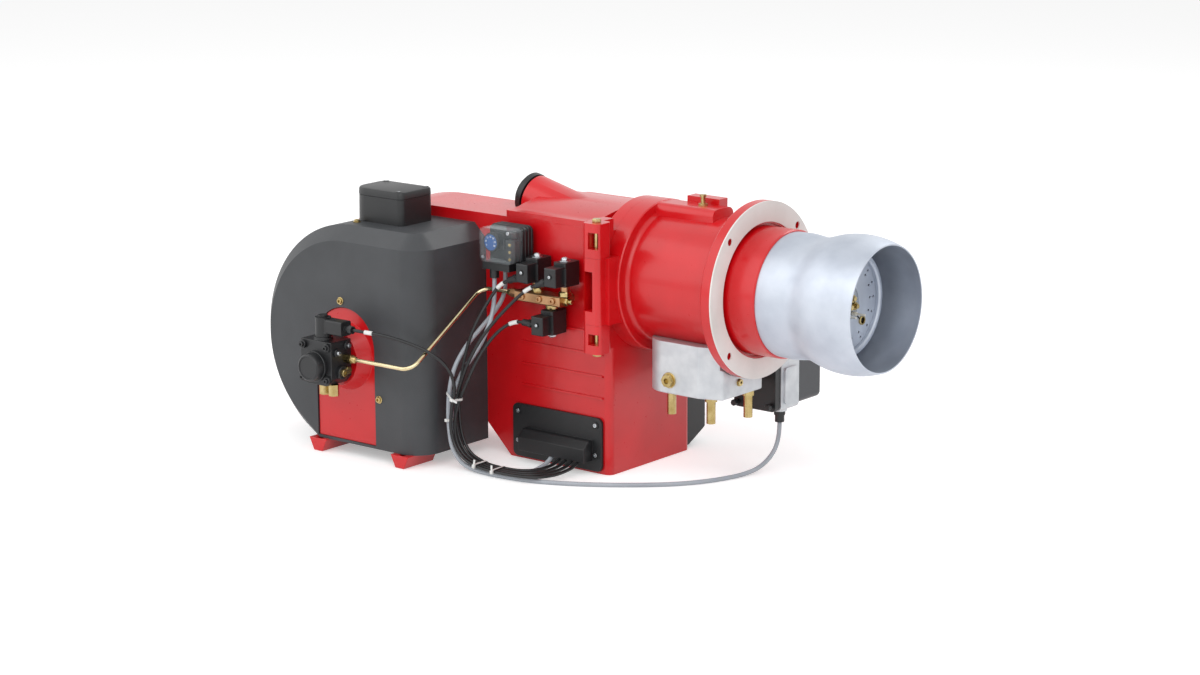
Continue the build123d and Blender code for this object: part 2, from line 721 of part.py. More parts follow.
def box_outline(inset):
    # Side view of the duct box, moved inwards by the inset
    diagonal = inset * tan(pi / 8)
    with BuildSketch() as shape:
        with BuildLine():
            Polyline(
                (housing_front_x - inset, BOX_TOP_Z - inset),
                (housing_front_x - inset, BOX_BOTTOM_Z + inset),
                (BOX_BACK_X + BOX_CUT + diagonal, BOX_BOTTOM_Z + inset),
                (BOX_BACK_X + inset, BOX_BOTTOM_Z + BOX_CUT + diagonal),
                (BOX_BACK_X + inset, BOX_TOP_Z - inset),
                close=True,
            )
        make_face()
    return shape.sketch


def scroll_outline(inset):
    # Side view of the fan scroll, moved inwards by the inset
    reach = SCROLL_R - inset
    inner_x = SCROLL_X + SCROLL_R + 30
    with BuildSketch() as shape:
        with BuildLine():
            CenterArc((SCROLL_X, SCROLL_Z), reach, 180, 180)
            Polyline(
                (SCROLL_X + reach, SCROLL_Z),
                (inner_x, SCROLL_Z),
                (inner_x, BOX_TOP_Z - inset),
                (SCROLL_TOP_X, BOX_TOP_Z - inset),
            )
            Spline((SCROLL_TOP_X, BOX_TOP_Z - inset), (SCROLL_X - reach, SCROLL_Z),
                   tangents=[(-1, 0), (0, -1)], tangent_scalars=(1.4, 1.4))
        make_face()
    return shape.sketch


# Housing: duct box, fan scroll, joint ring and its two hinge knuckles
with BuildPart() as housing:
    with BuildSketch(Plane.XZ.offset(-BOX_HALF_Y)):
        add(box_outline(0))
    extrude(amount=2 * BOX_HALF_Y)
    fillet(housing.edges().filter_by(Axis.Z).group_by(Axis.X)[-1], BOX_CORNER)
    with BuildSketch(Plane.XZ.offset(-SCROLL_BACK_Y)):
        add(scroll_outline(0))
    extrude(amount=BOX_HALF_Y + SCROLL_BACK_Y)
    with Locations((housing_front_x, 0, 0)):
        Cylinder(RING_R, FRONT_RING_T, rotation=(0, -90, 0),
                 align=(Align.CENTER, Align.CENTER, Align.MIN))
    for knuckle_z, knuckle_h in ((HINGE_UPPER_Z, HINGE_TOP_Z - HINGE_UPPER_Z),
                                 (HINGE_BOTTOM_Z, HINGE_LOWER_Z - HINGE_BOTTOM_Z)):
        with BuildSketch(Plane.XY.offset(knuckle_z)):
            with Locations((JOINT_X, PIN_Y)):
                RectangleRounded(KNUCKLE, KNUCKLE, KNUCKLE_CORNER)
            with Locations((housing_front_x, PIN_Y)):
                Rectangle(FRONT_RING_T, -PIN_Y - BOX_HALF_Y + 12, align=(Align.MAX, Align.MIN))
        extrude(amount=knuckle_h)
    with BuildSketch(Plane.XY.offset(HINGE_LOWER_Z)):
        with Locations((JOINT_X, PIN_Y)):
            Circle(HINGE_RELIEF_R)
            Rectangle(RING_T + 10, -PIN_Y - BOX_HALF_Y + 12, align=(Align.MIN, Align.MIN))
    extrude(amount=HINGE_UPPER_Z - HINGE_LOWER_Z, mode=Mode.SUBTRACT)
    for low_z, high_z in ((HINGE_UPPER_Z, HINGE_TOP_Z), (HINGE_BOTTOM_Z, HINGE_LOWER_Z)):
        with BuildSketch(Plane.XZ.offset(-PIN_Y + KNUCKLE / 2)):
            with Locations((JOINT_X + WINDOW_SHIFT, (low_z + high_z) / 2)):
                Rectangle(WINDOW_W, high_z - low_z - 2 * WINDOW_MARGIN)
        extrude(amount=-WINDOW_DEPTH, mode=Mode.SUBTRACT)
    for row in range(RIB_COUNT):
        with BuildSketch(Plane.XZ.offset(BOX_HALF_Y)):
            with Locations((RIB_X, RIB_TOP_Z - row * RIB_PITCH)):
                SlotOverall(RIB_LENGTH if row else 0.6 * RIB_LENGTH, RIB_H)
        extrude(amount=RIB_T)
    with BuildSketch(Plane.XZ.offset(-BOX_HALF_Y + HOUSING_WALL)):
        add(box_outline(HOUSING_WALL))
    extrude(amount=2 * BOX_HALF_Y - 2 * HOUSING_WALL, mode=Mode.SUBTRACT)
    with BuildSketch(Plane.XZ.offset(-SCROLL_BACK_Y + HOUSING_WALL)):
        add(scroll_outline(HOUSING_WALL))
    extrude(amount=BOX_HALF_Y + SCROLL_BACK_Y - 2 * HOUSING_WALL, mode=Mode.SUBTRACT)
    with Locations((housing_front_x, 0, 0)):
        Cylinder(drum_bore_r, FRONT_RING_T + 10, rotation=(0, -90, 0),
                 align=(Align.CENTER, Align.CENTER, Align.MIN), mode=Mode.SUBTRACT)
    with BuildSketch(Plane.XY.offset(BOX_TOP_Z)):
        with Locations(((housing_front_x + COVER_BACK_X) / 2 - 4, 0)):
            Rectangle(housing_front_x - COVER_BACK_X - 40, 2 * BOX_HALF_Y - 4 * HOUSING_WALL)
    extrude(amount=-2 * HOUSING_WALL, mode=Mode.SUBTRACT)
    with Locations((SCROLL_X, -BOX_HALF_Y, SHAFT_Z)):
        Cylinder(EYE_R, 3 * HOUSING_WALL, rotation=(90, 0, 0), mode=Mode.SUBTRACT)
    with Locations((DAMPER_X, 0, DAMPER_Z)):
        Cylinder(DAMPER_R + RUN_FIT, BOX_HALF_Y + 10, rotation=(-90, 0, 0),
                 align=(Align.CENTER, Align.CENTER, Align.MIN), mode=Mode.SUBTRACT)
        Cylinder(DAMPER_R + RUN_FIT, BOX_HALF_Y - 3, rotation=(90, 0, 0),
                 align=(Align.CENTER, Align.CENTER, Align.MIN), mode=Mode.SUBTRACT)
    with Locations((JOINT_X, PIN_Y, 0)):
        Cylinder(PIN_R + RUN_FIT, 4 * KNUCKLE + 200, mode=Mode.SUBTRACT)
finish(housing, "housing")

# Top cover with the slanted sight tube
tilt = radians(SIGHT_TILT)
sight_end_x = COVER_BACK_X - SIGHT_OVERHANG
sight_plane = Plane(origin=(sight_end_x, 0, SIGHT_END_Z), x_dir=(0, 1, 0),
                    z_dir=(cos(tilt), 0, -sin(tilt)))
with BuildPart() as top_cover:
    with BuildSketch(Plane.XY.offset(BOX_TOP_Z)):
        with Locations(((cover_front_x + COVER_BACK_X) / 2, 0)):
            Rectangle(cover_front_x - COVER_BACK_X, 2 * BOX_HALF_Y)
    extrude(amount=COVER_EDGE_H)
    fillet(top_cover.edges().filter_by(Axis.Z), BOX_CORNER)
    with BuildSketch(Plane.YZ.offset(COVER_BACK_X + 14)):
        with BuildLine():
            arc = ThreePointArc((-BOX_HALF_Y + 12, BOX_TOP_Z + COVER_EDGE_H),
                                (0, BOX_TOP_Z + COVER_EDGE_H + COVER_CROWN),
                                (BOX_HALF_Y - 12, BOX_TOP_Z + COVER_EDGE_H))
            Line(arc @ 0, arc @ 1)
        make_face()
    extrude(amount=cover_front_x - COVER_BACK_X - 28)
    with BuildSketch(sight_plane):
        Circle(SIGHT_R)
    extrude(amount=SIGHT_CAP_T + 240)
    with Locations((0, 0, BOX_TOP_Z)):
        Box(3000, 500, 200, align=(Align.CENTER, Align.CENTER, Align.MAX), mode=Mode.SUBTRACT)
    with BuildSketch(sight_plane):
        Circle(2 * SIGHT_R)
    extrude(amount=SIGHT_CAP_T, mode=Mode.SUBTRACT)
finish(top_cover, "top_cover")

# Sight cap at the tube's end
with BuildPart() as sight_cap:
    with BuildSketch(sight_plane):
        Circle(SIGHT_R - 6)
    extrude(amount=SIGHT_CAP_T)
    with BuildSketch(sight_plane.offset(6)):
        Circle(SIGHT_R + 1)
    extrude(amount=SIGHT_CAP_T - 10)
    with Locations((0, 0, BOX_TOP_Z + GAP)):
        Box(3000, 500, 200, align=(Align.CENTER, Align.CENTER, Align.MAX), mode=Mode.SUBTRACT)
finish(sight_cap, "sight_cap")


def hood_outline(inset, spread):
    # Front view of the hood, moved inwards by the inset, with its side and bottom moved out
    reach = HOOD_R - inset
    side_x = HOOD_SIDE_X - inset + spread
    bottom_z = HOOD_BOTTOM_Z + inset - spread
    arc_x = HOOD_X - sqrt(reach**2 - HOOD_ARC_DROP**2)
    toe_run = HOOD_ARC_DROP / (HOOD_X - arc_x) if spread else HOOD_TOE_RUN
    with BuildSketch() as shape:
        with BuildLine():
            arc = ThreePointArc(
                (HOOD_X, HOOD_Z + reach),
                (HOOD_X - reach * cos(pi / 4), HOOD_Z + reach * sin(pi / 4)),
                (arc_x, HOOD_Z - HOOD_ARC_DROP),
            )
            Polyline(
                arc @ 1,
                (arc_x + toe_run * (HOOD_Z - HOOD_ARC_DROP - bottom_z), bottom_z),
                (side_x, bottom_z),
                (side_x, HOOD_Z + reach),
                arc @ 0,
            )
        make_face()
    return shape.sketch


def hood_plan(inset):
    # View from above, with the round corner between the hood's front and its side
    with BuildSketch() as shape:
        with Locations((HOOD_SIDE_X - inset, HOOD_FRONT_Y + inset)):
            Rectangle(4 * HOOD_R, 3 * HOOD_R, align=(Align.MAX, Align.MIN))
        fillet(shape.vertices().group_by(Axis.X)[-1].sort_by(Axis.Y)[0], HOOD_CORNER - inset)
    return shape.sketch


def hood_shape(inset):
    # Solid of the intake hood, moved inwards by the inset, bevelled along its front and its top
    bevel = HOOD_CHAMFER - inset * 0.6
    with BuildPart() as shape:
        with BuildSketch(Plane.XZ.offset(-hood_back_y)):
            add(hood_outline(inset, 0))
        extrude(amount=hood_back_y - HOOD_FRONT_Y - inset)
        with BuildPart(mode=Mode.INTERSECT):
            with BuildSketch(Plane.XZ.offset(-hood_back_y)):
                add(hood_outline(inset, 100))
            extrude(amount=hood_back_y - HOOD_FRONT_Y - HOOD_CHAMFER)
            with BuildSketch(Plane.XZ.offset(-HOOD_FRONT_Y - HOOD_CHAMFER)):
                add(hood_outline(inset, 100))
            extrude(amount=bevel, taper=45)
        with BuildPart(mode=Mode.INTERSECT):
            with BuildSketch(Plane.XY.offset(HOOD_BOTTOM_Z)):
                add(hood_plan(inset))
            extrude(amount=HOOD_Z + HOOD_R - HOOD_CHAMFER - HOOD_BOTTOM_Z)
            with BuildSketch(Plane.XY.offset(HOOD_Z + HOOD_R - HOOD_CHAMFER)):
                add(hood_plan(inset))
            extrude(amount=bevel, taper=45)
    return shape.part


def panel_outline(margin):
    # Arch of the intake panel, widened by the margin
    with BuildSketch() as shape:
        with Locations((HOOD_X, ARCH_Z)):
            Circle(ARCH_R + margin)
            Rectangle(2 * ARCH_R + 2 * margin, ARCH_Z - HOOD_BOTTOM_Z - HOOD_WALL - GAP,
                      align=(Align.CENTER, Align.MAX))
    return shape.sketch


# Intake hood over the motor, with the arched opening for the red panel
with BuildPart() as hood:
    add(hood_shape(0))
    add(hood_shape(HOOD_WALL), mode=Mode.SUBTRACT)
    with BuildSketch(Plane.XZ.offset(-HOOD_FRONT_Y + 5)):
        add(panel_outline(ARCH_GAP))
    extrude(amount=-HOOD_CHAMFER - 20, mode=Mode.SUBTRACT)
    with BuildSketch(Plane.XY.offset(HOOD_BOTTOM_Z - 1)):
        with Locations((HOOD_X + 30, INTAKE_Y)):
            RectangleRounded(INTAKE_W, INTAKE_D, 10)
    extrude(amount=HOOD_WALL + 2, mode=Mode.SUBTRACT)
finish(hood, "intake_hood")

# Red intake panel with the raised seat for the pump
panel_seat_y = HOOD_FRONT_Y + HOOD_WALL
with BuildPart() as panel:
    with BuildSketch(Plane.XZ.offset(-panel_seat_y - PANEL_T)):
        add(panel_outline(PANEL_LAP))
    extrude(amount=PANEL_T)
    add(hood_shape(HOOD_WALL + GAP), mode=Mode.INTERSECT)
    with BuildSketch(Plane.XZ.offset(-panel_seat_y - GAP)):
        add(panel_outline(0))
    extrude(amount=panel_seat_y + GAP - PANEL_Y)
    with BuildSketch(Plane.XZ.offset(-PANEL_Y)):
        with Locations((HOOD_X, SHAFT_Z)):
            Circle(PUMP_BOSS_R)
    with BuildSketch(Plane.XZ.offset(-PUMP_SEAT_Y)):
        with Locations((HOOD_X, SHAFT_Z)):
            Circle(PUMP_BOSS_TOP_R)
    loft()
    with Locations((HOOD_X, panel_seat_y, SHAFT_Z)):
        Cylinder(COUPLING_R + 6, 90, rotation=(90, 0, 0), mode=Mode.SUBTRACT)
finish(panel, "intake_panel")

# Feet under the hood
floor_z = BOX_BOTTOM_Z
with BuildPart() as feet:
    for foot_x in FOOT_X:
        with BuildSketch(Plane.XZ.offset(-FOOT_Y0 - FOOT_LENGTH)):
            with BuildLine():
                Polyline(
                    (foot_x - FOOT_W / 2, floor_z),
                    (foot_x + FOOT_W / 2, floor_z),
                    (foot_x + FOOT_TOP_W / 2, HOOD_BOTTOM_Z),
                    (foot_x - FOOT_TOP_W / 2, HOOD_BOTTOM_Z),
                    close=True,
                )
            make_face()
        extrude(amount=FOOT_LENGTH)
        with Locations((foot_x, FOOT_Y0 + FOOT_LENGTH / 2, HOOD_BOTTOM_Z)):
            Box(FOOT_W - 2 * FOOT_WALL, FOOT_LENGTH - 2 * FOOT_WALL, 18, mode=Mode.SUBTRACT)
finish(feet, "feet")

# Terminal box on the hood
with BuildPart() as terminal_box:
    with BuildSketch(Plane.XY.offset(HOOD_Z + HOOD_R - 60)):
        with Locations(((TERMINAL_X0 + TERMINAL_X1) / 2, (TERMINAL_Y0 + TERMINAL_Y1) / 2)):
            RectangleRounded(TERMINAL_X1 - TERMINAL_X0, TERMINAL_Y1 - TERMINAL_Y0, TERMINAL_CORNER)
    extrude(amount=TERMINAL_TOP_Z - HOOD_Z - HOOD_R + 60, taper=1)
    fillet(terminal_box.faces().sort_by(Axis.Z)[-1].edges(), 4)
    add(hood_shape(0), mode=Mode.SUBTRACT)
finish(terminal_box, "terminal_box")

# Motor on its posts
with BuildPart() as motor:
    with Locations((HOOD_X, motor_back_y, SHAFT_Z)):
        Cylinder(MOTOR_R, motor_back_y - panel_seat_y - PANEL_T, rotation=(90, 0, 0),
                 align=(Align.CENTER, Align.CENTER, Align.MIN))
        Cylinder(MOTOR_FOOT_R + MOTOR_POST_R + 4, 8, rotation=(90, 0, 0),
                 align=(Align.CENTER, Align.CENTER, Align.MIN))
    with BuildSketch(Plane.XZ.offset(-motor_back_y)):
        with Locations((HOOD_X, SHAFT_Z)):
            with PolarLocations(MOTOR_FOOT_R, 4, start_angle=45):
                Circle(MOTOR_POST_R)
    extrude(amount=motor_back_y + BOX_HALF_Y)
    with Locations((HOOD_X, motor_back_y + 1, SHAFT_Z)):
        Cylinder(SHAFT_R + RUN_FIT, 500, rotation=(90, 0, 0), mode=Mode.SUBTRACT)
finish(motor, "motor")

# Fan rotor: motor shaft, hub, plates and blades
fan_back_y = fan_front_y + FAN_W
with BuildPart() as rotor:
    with Locations((HOOD_X, fan_back_y, SHAFT_Z)):
        Cylinder(SHAFT_R, fan_back_y - PUMP_SEAT_Y - GAP, rotation=(90, 0, 0),
                 align=(Align.CENTER, Align.CENTER, Align.MIN))
        Cylinder(SHAFT_R + 12, 40, rotation=(90, 0, 0),
                 align=(Align.CENTER, Align.CENTER, Align.MIN))
        Cylinder(FAN_R, FAN_PLATE_T, rotation=(90, 0, 0),
                 align=(Align.CENTER, Align.CENTER, Align.MIN))
    with Locations((HOOD_X, PUMP_SEAT_Y + GAP, SHAFT_Z)):
        Cylinder(COUPLING_R, COUPLING_LENGTH, rotation=(-90, 0, 0),
                 align=(Align.CENTER, Align.CENTER, Align.MIN))
    with BuildSketch(Plane.XZ.offset(-fan_front_y - FAN_PLATE_T)):
        with Locations((HOOD_X, SHAFT_Z)):
            Circle(FAN_R)
            Circle(FAN_EYE_R, mode=Mode.SUBTRACT)
    extrude(amount=FAN_PLATE_T)
    with BuildSketch(Plane.XZ.offset(-fan_front_y)):
        with Locations((HOOD_X, SHAFT_Z)):
            with PolarLocations((FAN_R + FAN_EYE_R) / 2, FAN_BLADES):
                Rectangle(0.9 * (FAN_R - FAN_EYE_R), FAN_BLADE_T, rotation=28)
    extrude(amount=-FAN_W)
finish(rotor, "fan_rotor")

# Oil pump
with BuildPart() as pump:
    with BuildSketch(Plane.XZ.offset(-PUMP_SEAT_Y)) as face:
        with Locations((HOOD_X, SHAFT_Z)):
            Rectangle(PUMP_W, PUMP_H)
        chamfer(face.vertices().group_by(Axis.Y)[0], PUMP_CHAMFER)
    extrude(amount=PUMP_D)
    with Locations((HOOD_X, PUMP_COIL_Y, SHAFT_Z + PUMP_H / 2)):
        Cylinder(PUMP_COIL_R + 3, 5, align=(Align.CENTER, Align.CENTER, Align.MIN))
finish(pump, "oil_pump")

# Round cover on the pump's front
with BuildPart() as pump_cover:
    with Locations((HOOD_X, PUMP_SEAT_Y - PUMP_D, SHAFT_Z - PUMP_COVER_DROP)):
        Cylinder(PUMP_COVER_R, PUMP_COVER_D, rotation=(90, 0, 0),
                 align=(Align.CENTER, Align.CENTER, Align.MIN))
    fillet(pump_cover.faces().sort_by(Axis.Y)[0].edges(), 2)
finish(pump_cover, "pump_cover")

# Solenoid on the pump and its plug
coil_z = SHAFT_Z + PUMP_H / 2 + 5
with BuildPart() as pump_coil:
    with Locations((HOOD_X, PUMP_COIL_Y, coil_z)):
        Cylinder(PUMP_COIL_R, PUMP_COIL_H, align=(Align.CENTER, Align.CENTER, Align.MIN))
    with Locations((HOOD_X, PUMP_COIL_Y, coil_z + PUMP_COIL_H)):
        Cylinder(PUMP_COIL_R * 0.6, 4, align=(Align.CENTER, Align.CENTER, Align.MIN))
    with Locations((HOOD_X + PUMP_COIL_R - 4, PUMP_COIL_Y, coil_z + 8)):
        Box(8, 22, 28, align=(Align.MIN, Align.CENTER, Align.MIN))
finish(pump_coil, "pump_solenoid")
with BuildPart() as pump_plug:
    with Locations((HOOD_X + PUMP_COIL_R + 4, PUMP_COIL_Y, coil_z + 8)):
        Box(PUMP_PLUG_L, 28, 28, align=(Align.MIN, Align.CENTER, Align.MIN))
    fillet(pump_plug.edges().filter_by(Axis.X), 4)
    with Locations((HOOD_X + PUMP_COIL_R + 4 + PUMP_PLUG_L, PUMP_COIL_Y, coil_z + 22)):
        Cylinder(PLUG_GLAND_R, PUMP_GLAND_L, rotation=(0, 90, 0),
                 align=(Align.CENTER, Align.CENTER, Align.MIN))
finish(pump_plug, "pump_plug")

# Brass ports and plugs on the pump
pump_side_x = HOOD_X + PUMP_W / 2
pump_low_z = SHAFT_Z - PUMP_H / 2
with BuildPart() as pump_ports:
    with BuildSketch(Plane.YZ.offset(pump_side_x)):
        with Locations((PUMP_OUT_Y, PUMP_OUT_Z)):
            RegularPolygon(PIPE_NUT_R, 6)
    extrude(amount=PIPE_NUT_L)
    with BuildSketch(Plane.YZ.offset(pump_side_x)):
        with Locations((PUMP_OUT_Y, PUMP_OUT_Z - PUMP_SIDE_PLUG_DROP)):
            RegularPolygon(PUMP_SIDE_PLUG_R, 6)
    extrude(amount=10)
    with BuildSketch(Plane.XY.offset(pump_low_z)):
        with Locations((HOOD_X, PUMP_COIL_Y), (HOOD_X + PUMP_PORT_PITCH, PUMP_COIL_Y)):
            RegularPolygon(PUMP_PORT_R, 6)
            Circle(PUMP_PORT_BORE_R, mode=Mode.SUBTRACT)
    extrude(amount=-PUMP_PORT_H)
finish(pump_ports, "pump_ports")

# Valve block with the stems of its three solenoids
block_top_z = VALVE_Z + VALVE_H / 2
block_low_z = VALVE_Z - VALVE_H / 2
with BuildPart() as valve_block:
    with Locations(((VALVE_X0 + VALVE_X1) / 2, valve_y, VALVE_Z)):
        Box(VALVE_X1 - VALVE_X0, VALVE_D, VALVE_H)
    chamfer(valve_block.edges().filter_by(Axis.X), 2)
    with Locations((VALVE_X0 + 12, valve_y, VALVE_Z), (VALVE_X1 - 12, valve_y, VALVE_Z)):
        Cylinder(8, -BOX_HALF_Y - valve_y, rotation=(-90, 0, 0),
                 align=(Align.CENTER, Align.CENTER, Align.MIN))
    for coil_x in COIL_X[:2]:
        with Locations((coil_x, valve_y, block_top_z)):
            Cylinder(COIL_STEM_R, COIL_STEM_H, align=(Align.CENTER, Align.CENTER, Align.MIN))
    with Locations((COIL_X[2], valve_y, block_low_z)):
        Cylinder(COIL_STEM_R, HANGING_STEM_H, align=(Align.CENTER, Align.CENTER, Align.MAX))
    with BuildSketch(Plane.YZ.offset(VALVE_X0)):
        with Locations((valve_y, VALVE_Z)):
            RegularPolygon(PIPE_NUT_R, 6)
    extrude(amount=-PIPE_NUT_L)
finish(valve_block, "valve_block")

# Solenoid coils, their connector plugs and their nuts
hanging_z = block_low_z - HANGING_STEM_H - COIL_H
coil_lows = (block_top_z + COIL_STEM_H, block_top_z + COIL_STEM_H, hanging_z)
plug_back_y = valve_y + 4 - COIL_D / 2
for number, (coil_x, low_z) in enumerate(zip(COIL_X, coil_lows), 1):
    hangs = low_z == hanging_z
    middle_z = low_z + COIL_H / 2
    with BuildPart() as coil:
        with Locations((coil_x, valve_y + 4, middle_z)):
            Box(COIL_W, COIL_D, COIL_H)
        fillet(coil.edges().filter_by(Axis.Z), 5)
    finish(coil, f"valve_coil_{number}")
    with BuildPart() as coil_nut:
        with BuildSketch(Plane.XY.offset(low_z if hangs else low_z + COIL_H)):
            with Locations((coil_x, valve_y)):
                RegularPolygon(COIL_NUT_R, 6)
        extrude(amount=-COIL_NUT_H if hangs else COIL_NUT_H)
    finish(coil_nut, f"coil_nut_{number}")
    with BuildPart() as plug:
        with Locations((coil_x, plug_back_y - PLUG_D / 2, middle_z - 2)):
            Box(PLUG_W, PLUG_D, PLUG_H)
        fillet(plug.faces().sort_by(Axis.Y)[0].edges(), 3)
        if hangs:
            with Locations((coil_x - PLUG_W / 2, plug_back_y - PLUG_D / 2, middle_z - 2)):
                Cylinder(PLUG_GLAND_R, PLUG_GLAND_L, rotation=(0, -90, 0),
                         align=(Align.CENTER, Align.CENTER, Align.MIN))
        else:
            with Locations((coil_x - PLUG_W / 2 + GLAND_RISE, plug_back_y - PLUG_D / 2,
                            middle_z - 2 - PLUG_H / 2 + GLAND_RISE + GLAND_RISE * tan(radians(GLAND_TILT)))):
                Cylinder(PLUG_GLAND_R, PLUG_GLAND_L + GLAND_RISE / cos(radians(GLAND_TILT)),
                         rotation=(0, -90 - GLAND_TILT, 0), align=(Align.CENTER, Align.CENTER, Align.MIN))
    finish(plug, f"valve_plug_{number}")

# Oil pipe from the pump to the valve block
pipe_start = (pump_side_x + PIPE_NUT_L, PUMP_OUT_Y, PUMP_OUT_Z)
pipe_end = (VALVE_X0 - PIPE_NUT_L, valve_y, VALVE_Z)
with BuildPart() as oil_pipe:
    with BuildLine() as pipe_line:
        FilletPolyline(pipe_start, (PIPE_X, PUMP_OUT_Y, PUMP_OUT_Z), (PIPE_X, valve_y, VALVE_Z),
                       pipe_end, radius=PIPE_BEND_R)
    with BuildSketch(Plane(origin=pipe_start, z_dir=(1, 0, 0))):
        Circle(PIPE_R)
    sweep()
finish(oil_pipe, "oil_pipe")

# Air pressure switch: body with its foot and cable gland
switch_back_y = -BOX_HALF_Y - SWITCH_STAND
switch_front_y = switch_back_y - SWITCH_BODY_D
cover_front_y = switch_front_y - SWITCH_COVER_D
switch_low_z = SWITCH_Z - SWITCH_H / 2
with BuildPart() as switch_body:
    with BuildSketch(Plane.XZ.offset(-switch_back_y)):
        with Locations((SWITCH_X, SWITCH_Z)):
            RectangleRounded(SWITCH_W, SWITCH_H, SWITCH_CORNER)
    extrude(amount=SWITCH_BODY_D)
    with Locations((SWITCH_X, switch_back_y, SWITCH_Z)):
        Cylinder(16, SWITCH_STAND, rotation=(-90, 0, 0),
                 align=(Align.CENTER, Align.CENTER, Align.MIN))
    with Locations((SWITCH_X, switch_front_y, switch_low_z)):
        Box(SWITCH_W - 16, SWITCH_COVER_D, CHIN_H, align=(Align.CENTER, Align.MAX, Align.MIN))
    with Locations((SWITCH_X - 17, switch_front_y - 16, switch_low_z)):
        Cylinder(9, 18, align=(Align.CENTER, Align.CENTER, Align.MAX))
    with Locations((DIAL_X, switch_front_y, DIAL_Z)):
        Cylinder(5 + RUN_FIT, 12, rotation=(90, 0, 0), mode=Mode.SUBTRACT)
finish(switch_body, "switch_body")

# Clear cover of the switch
cover_h = SWITCH_H - CHIN_H - GAP
with BuildPart() as switch_cover:
    with BuildSketch(Plane.XZ.offset(-switch_front_y)):
        with Locations((SWITCH_X, SWITCH_Z + (CHIN_H + GAP) / 2)):
            RectangleRounded(SWITCH_W - 3, cover_h, SWITCH_CORNER)
    extrude(amount=SWITCH_COVER_D)
    offset(amount=-SWITCH_WALL, openings=switch_cover.faces().sort_by(Axis.Y)[-1])
finish(switch_cover, "switch_cover")

# Setting dial of the switch
with BuildPart() as dial:
    with Locations((DIAL_X, cover_front_y + SWITCH_WALL + 2, DIAL_Z)):
        Cylinder(DIAL_R, DIAL_T, rotation=(-90, 0, 0),
                 align=(Align.CENTER, Align.CENTER, Align.MIN))
        Cylinder(5, SWITCH_COVER_D - SWITCH_WALL - 2 + 5, rotation=(-90, 0, 0),
                 align=(Align.CENTER, Align.CENTER, Align.MIN))
    with BuildSketch(Plane.XZ.offset(-cover_front_y - SWITCH_WALL - 2)):
        with Locations((DIAL_X, DIAL_Z)):
            Rectangle(3, DIAL_R * 1.5)
    extrude(amount=-2, mode=Mode.SUBTRACT)
finish(dial, "switch_dial")

# Cable entry plate with its visor
with BuildPart() as cable_plate:
    with BuildSketch(Plane.XZ.offset(BOX_HALF_Y)):
        with Locations(((PLATE_X0 + PLATE_X1) / 2, (PLATE_Z0 + PLATE_Z1) / 2)):
            RectangleRounded(PLATE_X1 - PLATE_X0, PLATE_Z1 - PLATE_Z0, PLATE_CORNER)
    extrude(amount=PLATE_T)
    with BuildSketch(Plane.YZ.offset(VISOR_X0)):
        with BuildLine():
            Polyline(
                (-BOX_HALF_Y - PLATE_T, VISOR_Z0),
                (-BOX_HALF_Y - PLATE_T, VISOR_Z1),
                (-BOX_HALF_Y - PLATE_T - 12, VISOR_Z1),
                (-BOX_HALF_Y - PLATE_T - VISOR_D, VISOR_Z1 - 14),
                (-BOX_HALF_Y - PLATE_T - VISOR_D, VISOR_Z0),
                close=True,
            )
        make_face()
    extrude(amount=VISOR_X1 - VISOR_X0)
    with Locations(((VISOR_X0 + VISOR_X1) / 2, -BOX_HALF_Y - PLATE_T, VISOR_Z0)):
        Box(VISOR_X1 - VISOR_X0 - 2 * VISOR_WALL, VISOR_D - VISOR_WALL, VISOR_Z1 - VISOR_Z0 - 14,
            align=(Align.CENTER, Align.MAX, Align.MIN), mode=Mode.SUBTRACT)
finish(cable_plate, "cable_plate")

# Screws of the cable plate
with BuildPart() as plate_screws:
    with BuildSketch(Plane.XZ.offset(BOX_HALF_Y + PLATE_T)):
        with Locations((PLATE_X0 + 14, PLATE_Z1 - 10), (PLATE_X0 + 14, PLATE_Z0 + 32),
                       (PLATE_X1 - 14, PLATE_Z1 - 10), (PLATE_X1 - 14, PLATE_Z0 + 32)):
            Circle(SMALL_SCREW_R)
    extrude(amount=SMALL_SCREW_H)
finish(plate_screws, "plate_screws")

# Brass screws on the hood's front
with BuildPart() as hood_screws:
    with BuildSketch(Plane.XZ.offset(-HOOD_FRONT_Y)):
        with Locations((HOOD_X - 9, ARCH_Z + ARCH_R + 13), (HOOD_X + ARCH_R + 12, ARCH_Z - 92)):
            Circle(SCREW_R)
    extrude(amount=4)
finish(hood_screws, "hood_screws")

# Closing screws in the joint ring, on the side away from the hinge
with BuildPart() as closing_screws:
    with BuildSketch(Plane.YZ.offset(housing_front_x - FRONT_RING_T)):
        with Locations((BOX_HALF_Y + SCREW_R + 2.5, 30), (BOX_HALF_Y + SCREW_R + 2.5, -30)):
            RegularPolygon(SCREW_R + 1, 6)
    extrude(amount=-SCREW_H)
finish(closing_screws, "closing_screws")

# Air damper: shaft and flap
with BuildPart() as damper:
    with Locations((DAMPER_X, -BOX_HALF_Y + 4, DAMPER_Z)):
        Cylinder(DAMPER_R, 2 * BOX_HALF_Y + 26, rotation=(-90, 0, 0),
                 align=(Align.CENTER, Align.CENTER, Align.MIN))
    with Locations((DAMPER_X, 0, DAMPER_Z)):
        Box(FLAP_T, 2 * BOX_HALF_Y - 2 * HOUSING_WALL - 6, FLAP_W)
    with Locations((DAMPER_X, BOX_HALF_Y + 14, DAMPER_Z)):
        Cylinder(14, 12, rotation=(-90, 0, 0), align=(Align.CENTER, Align.CENTER, Align.MIN))
finish(damper, "air_damper")

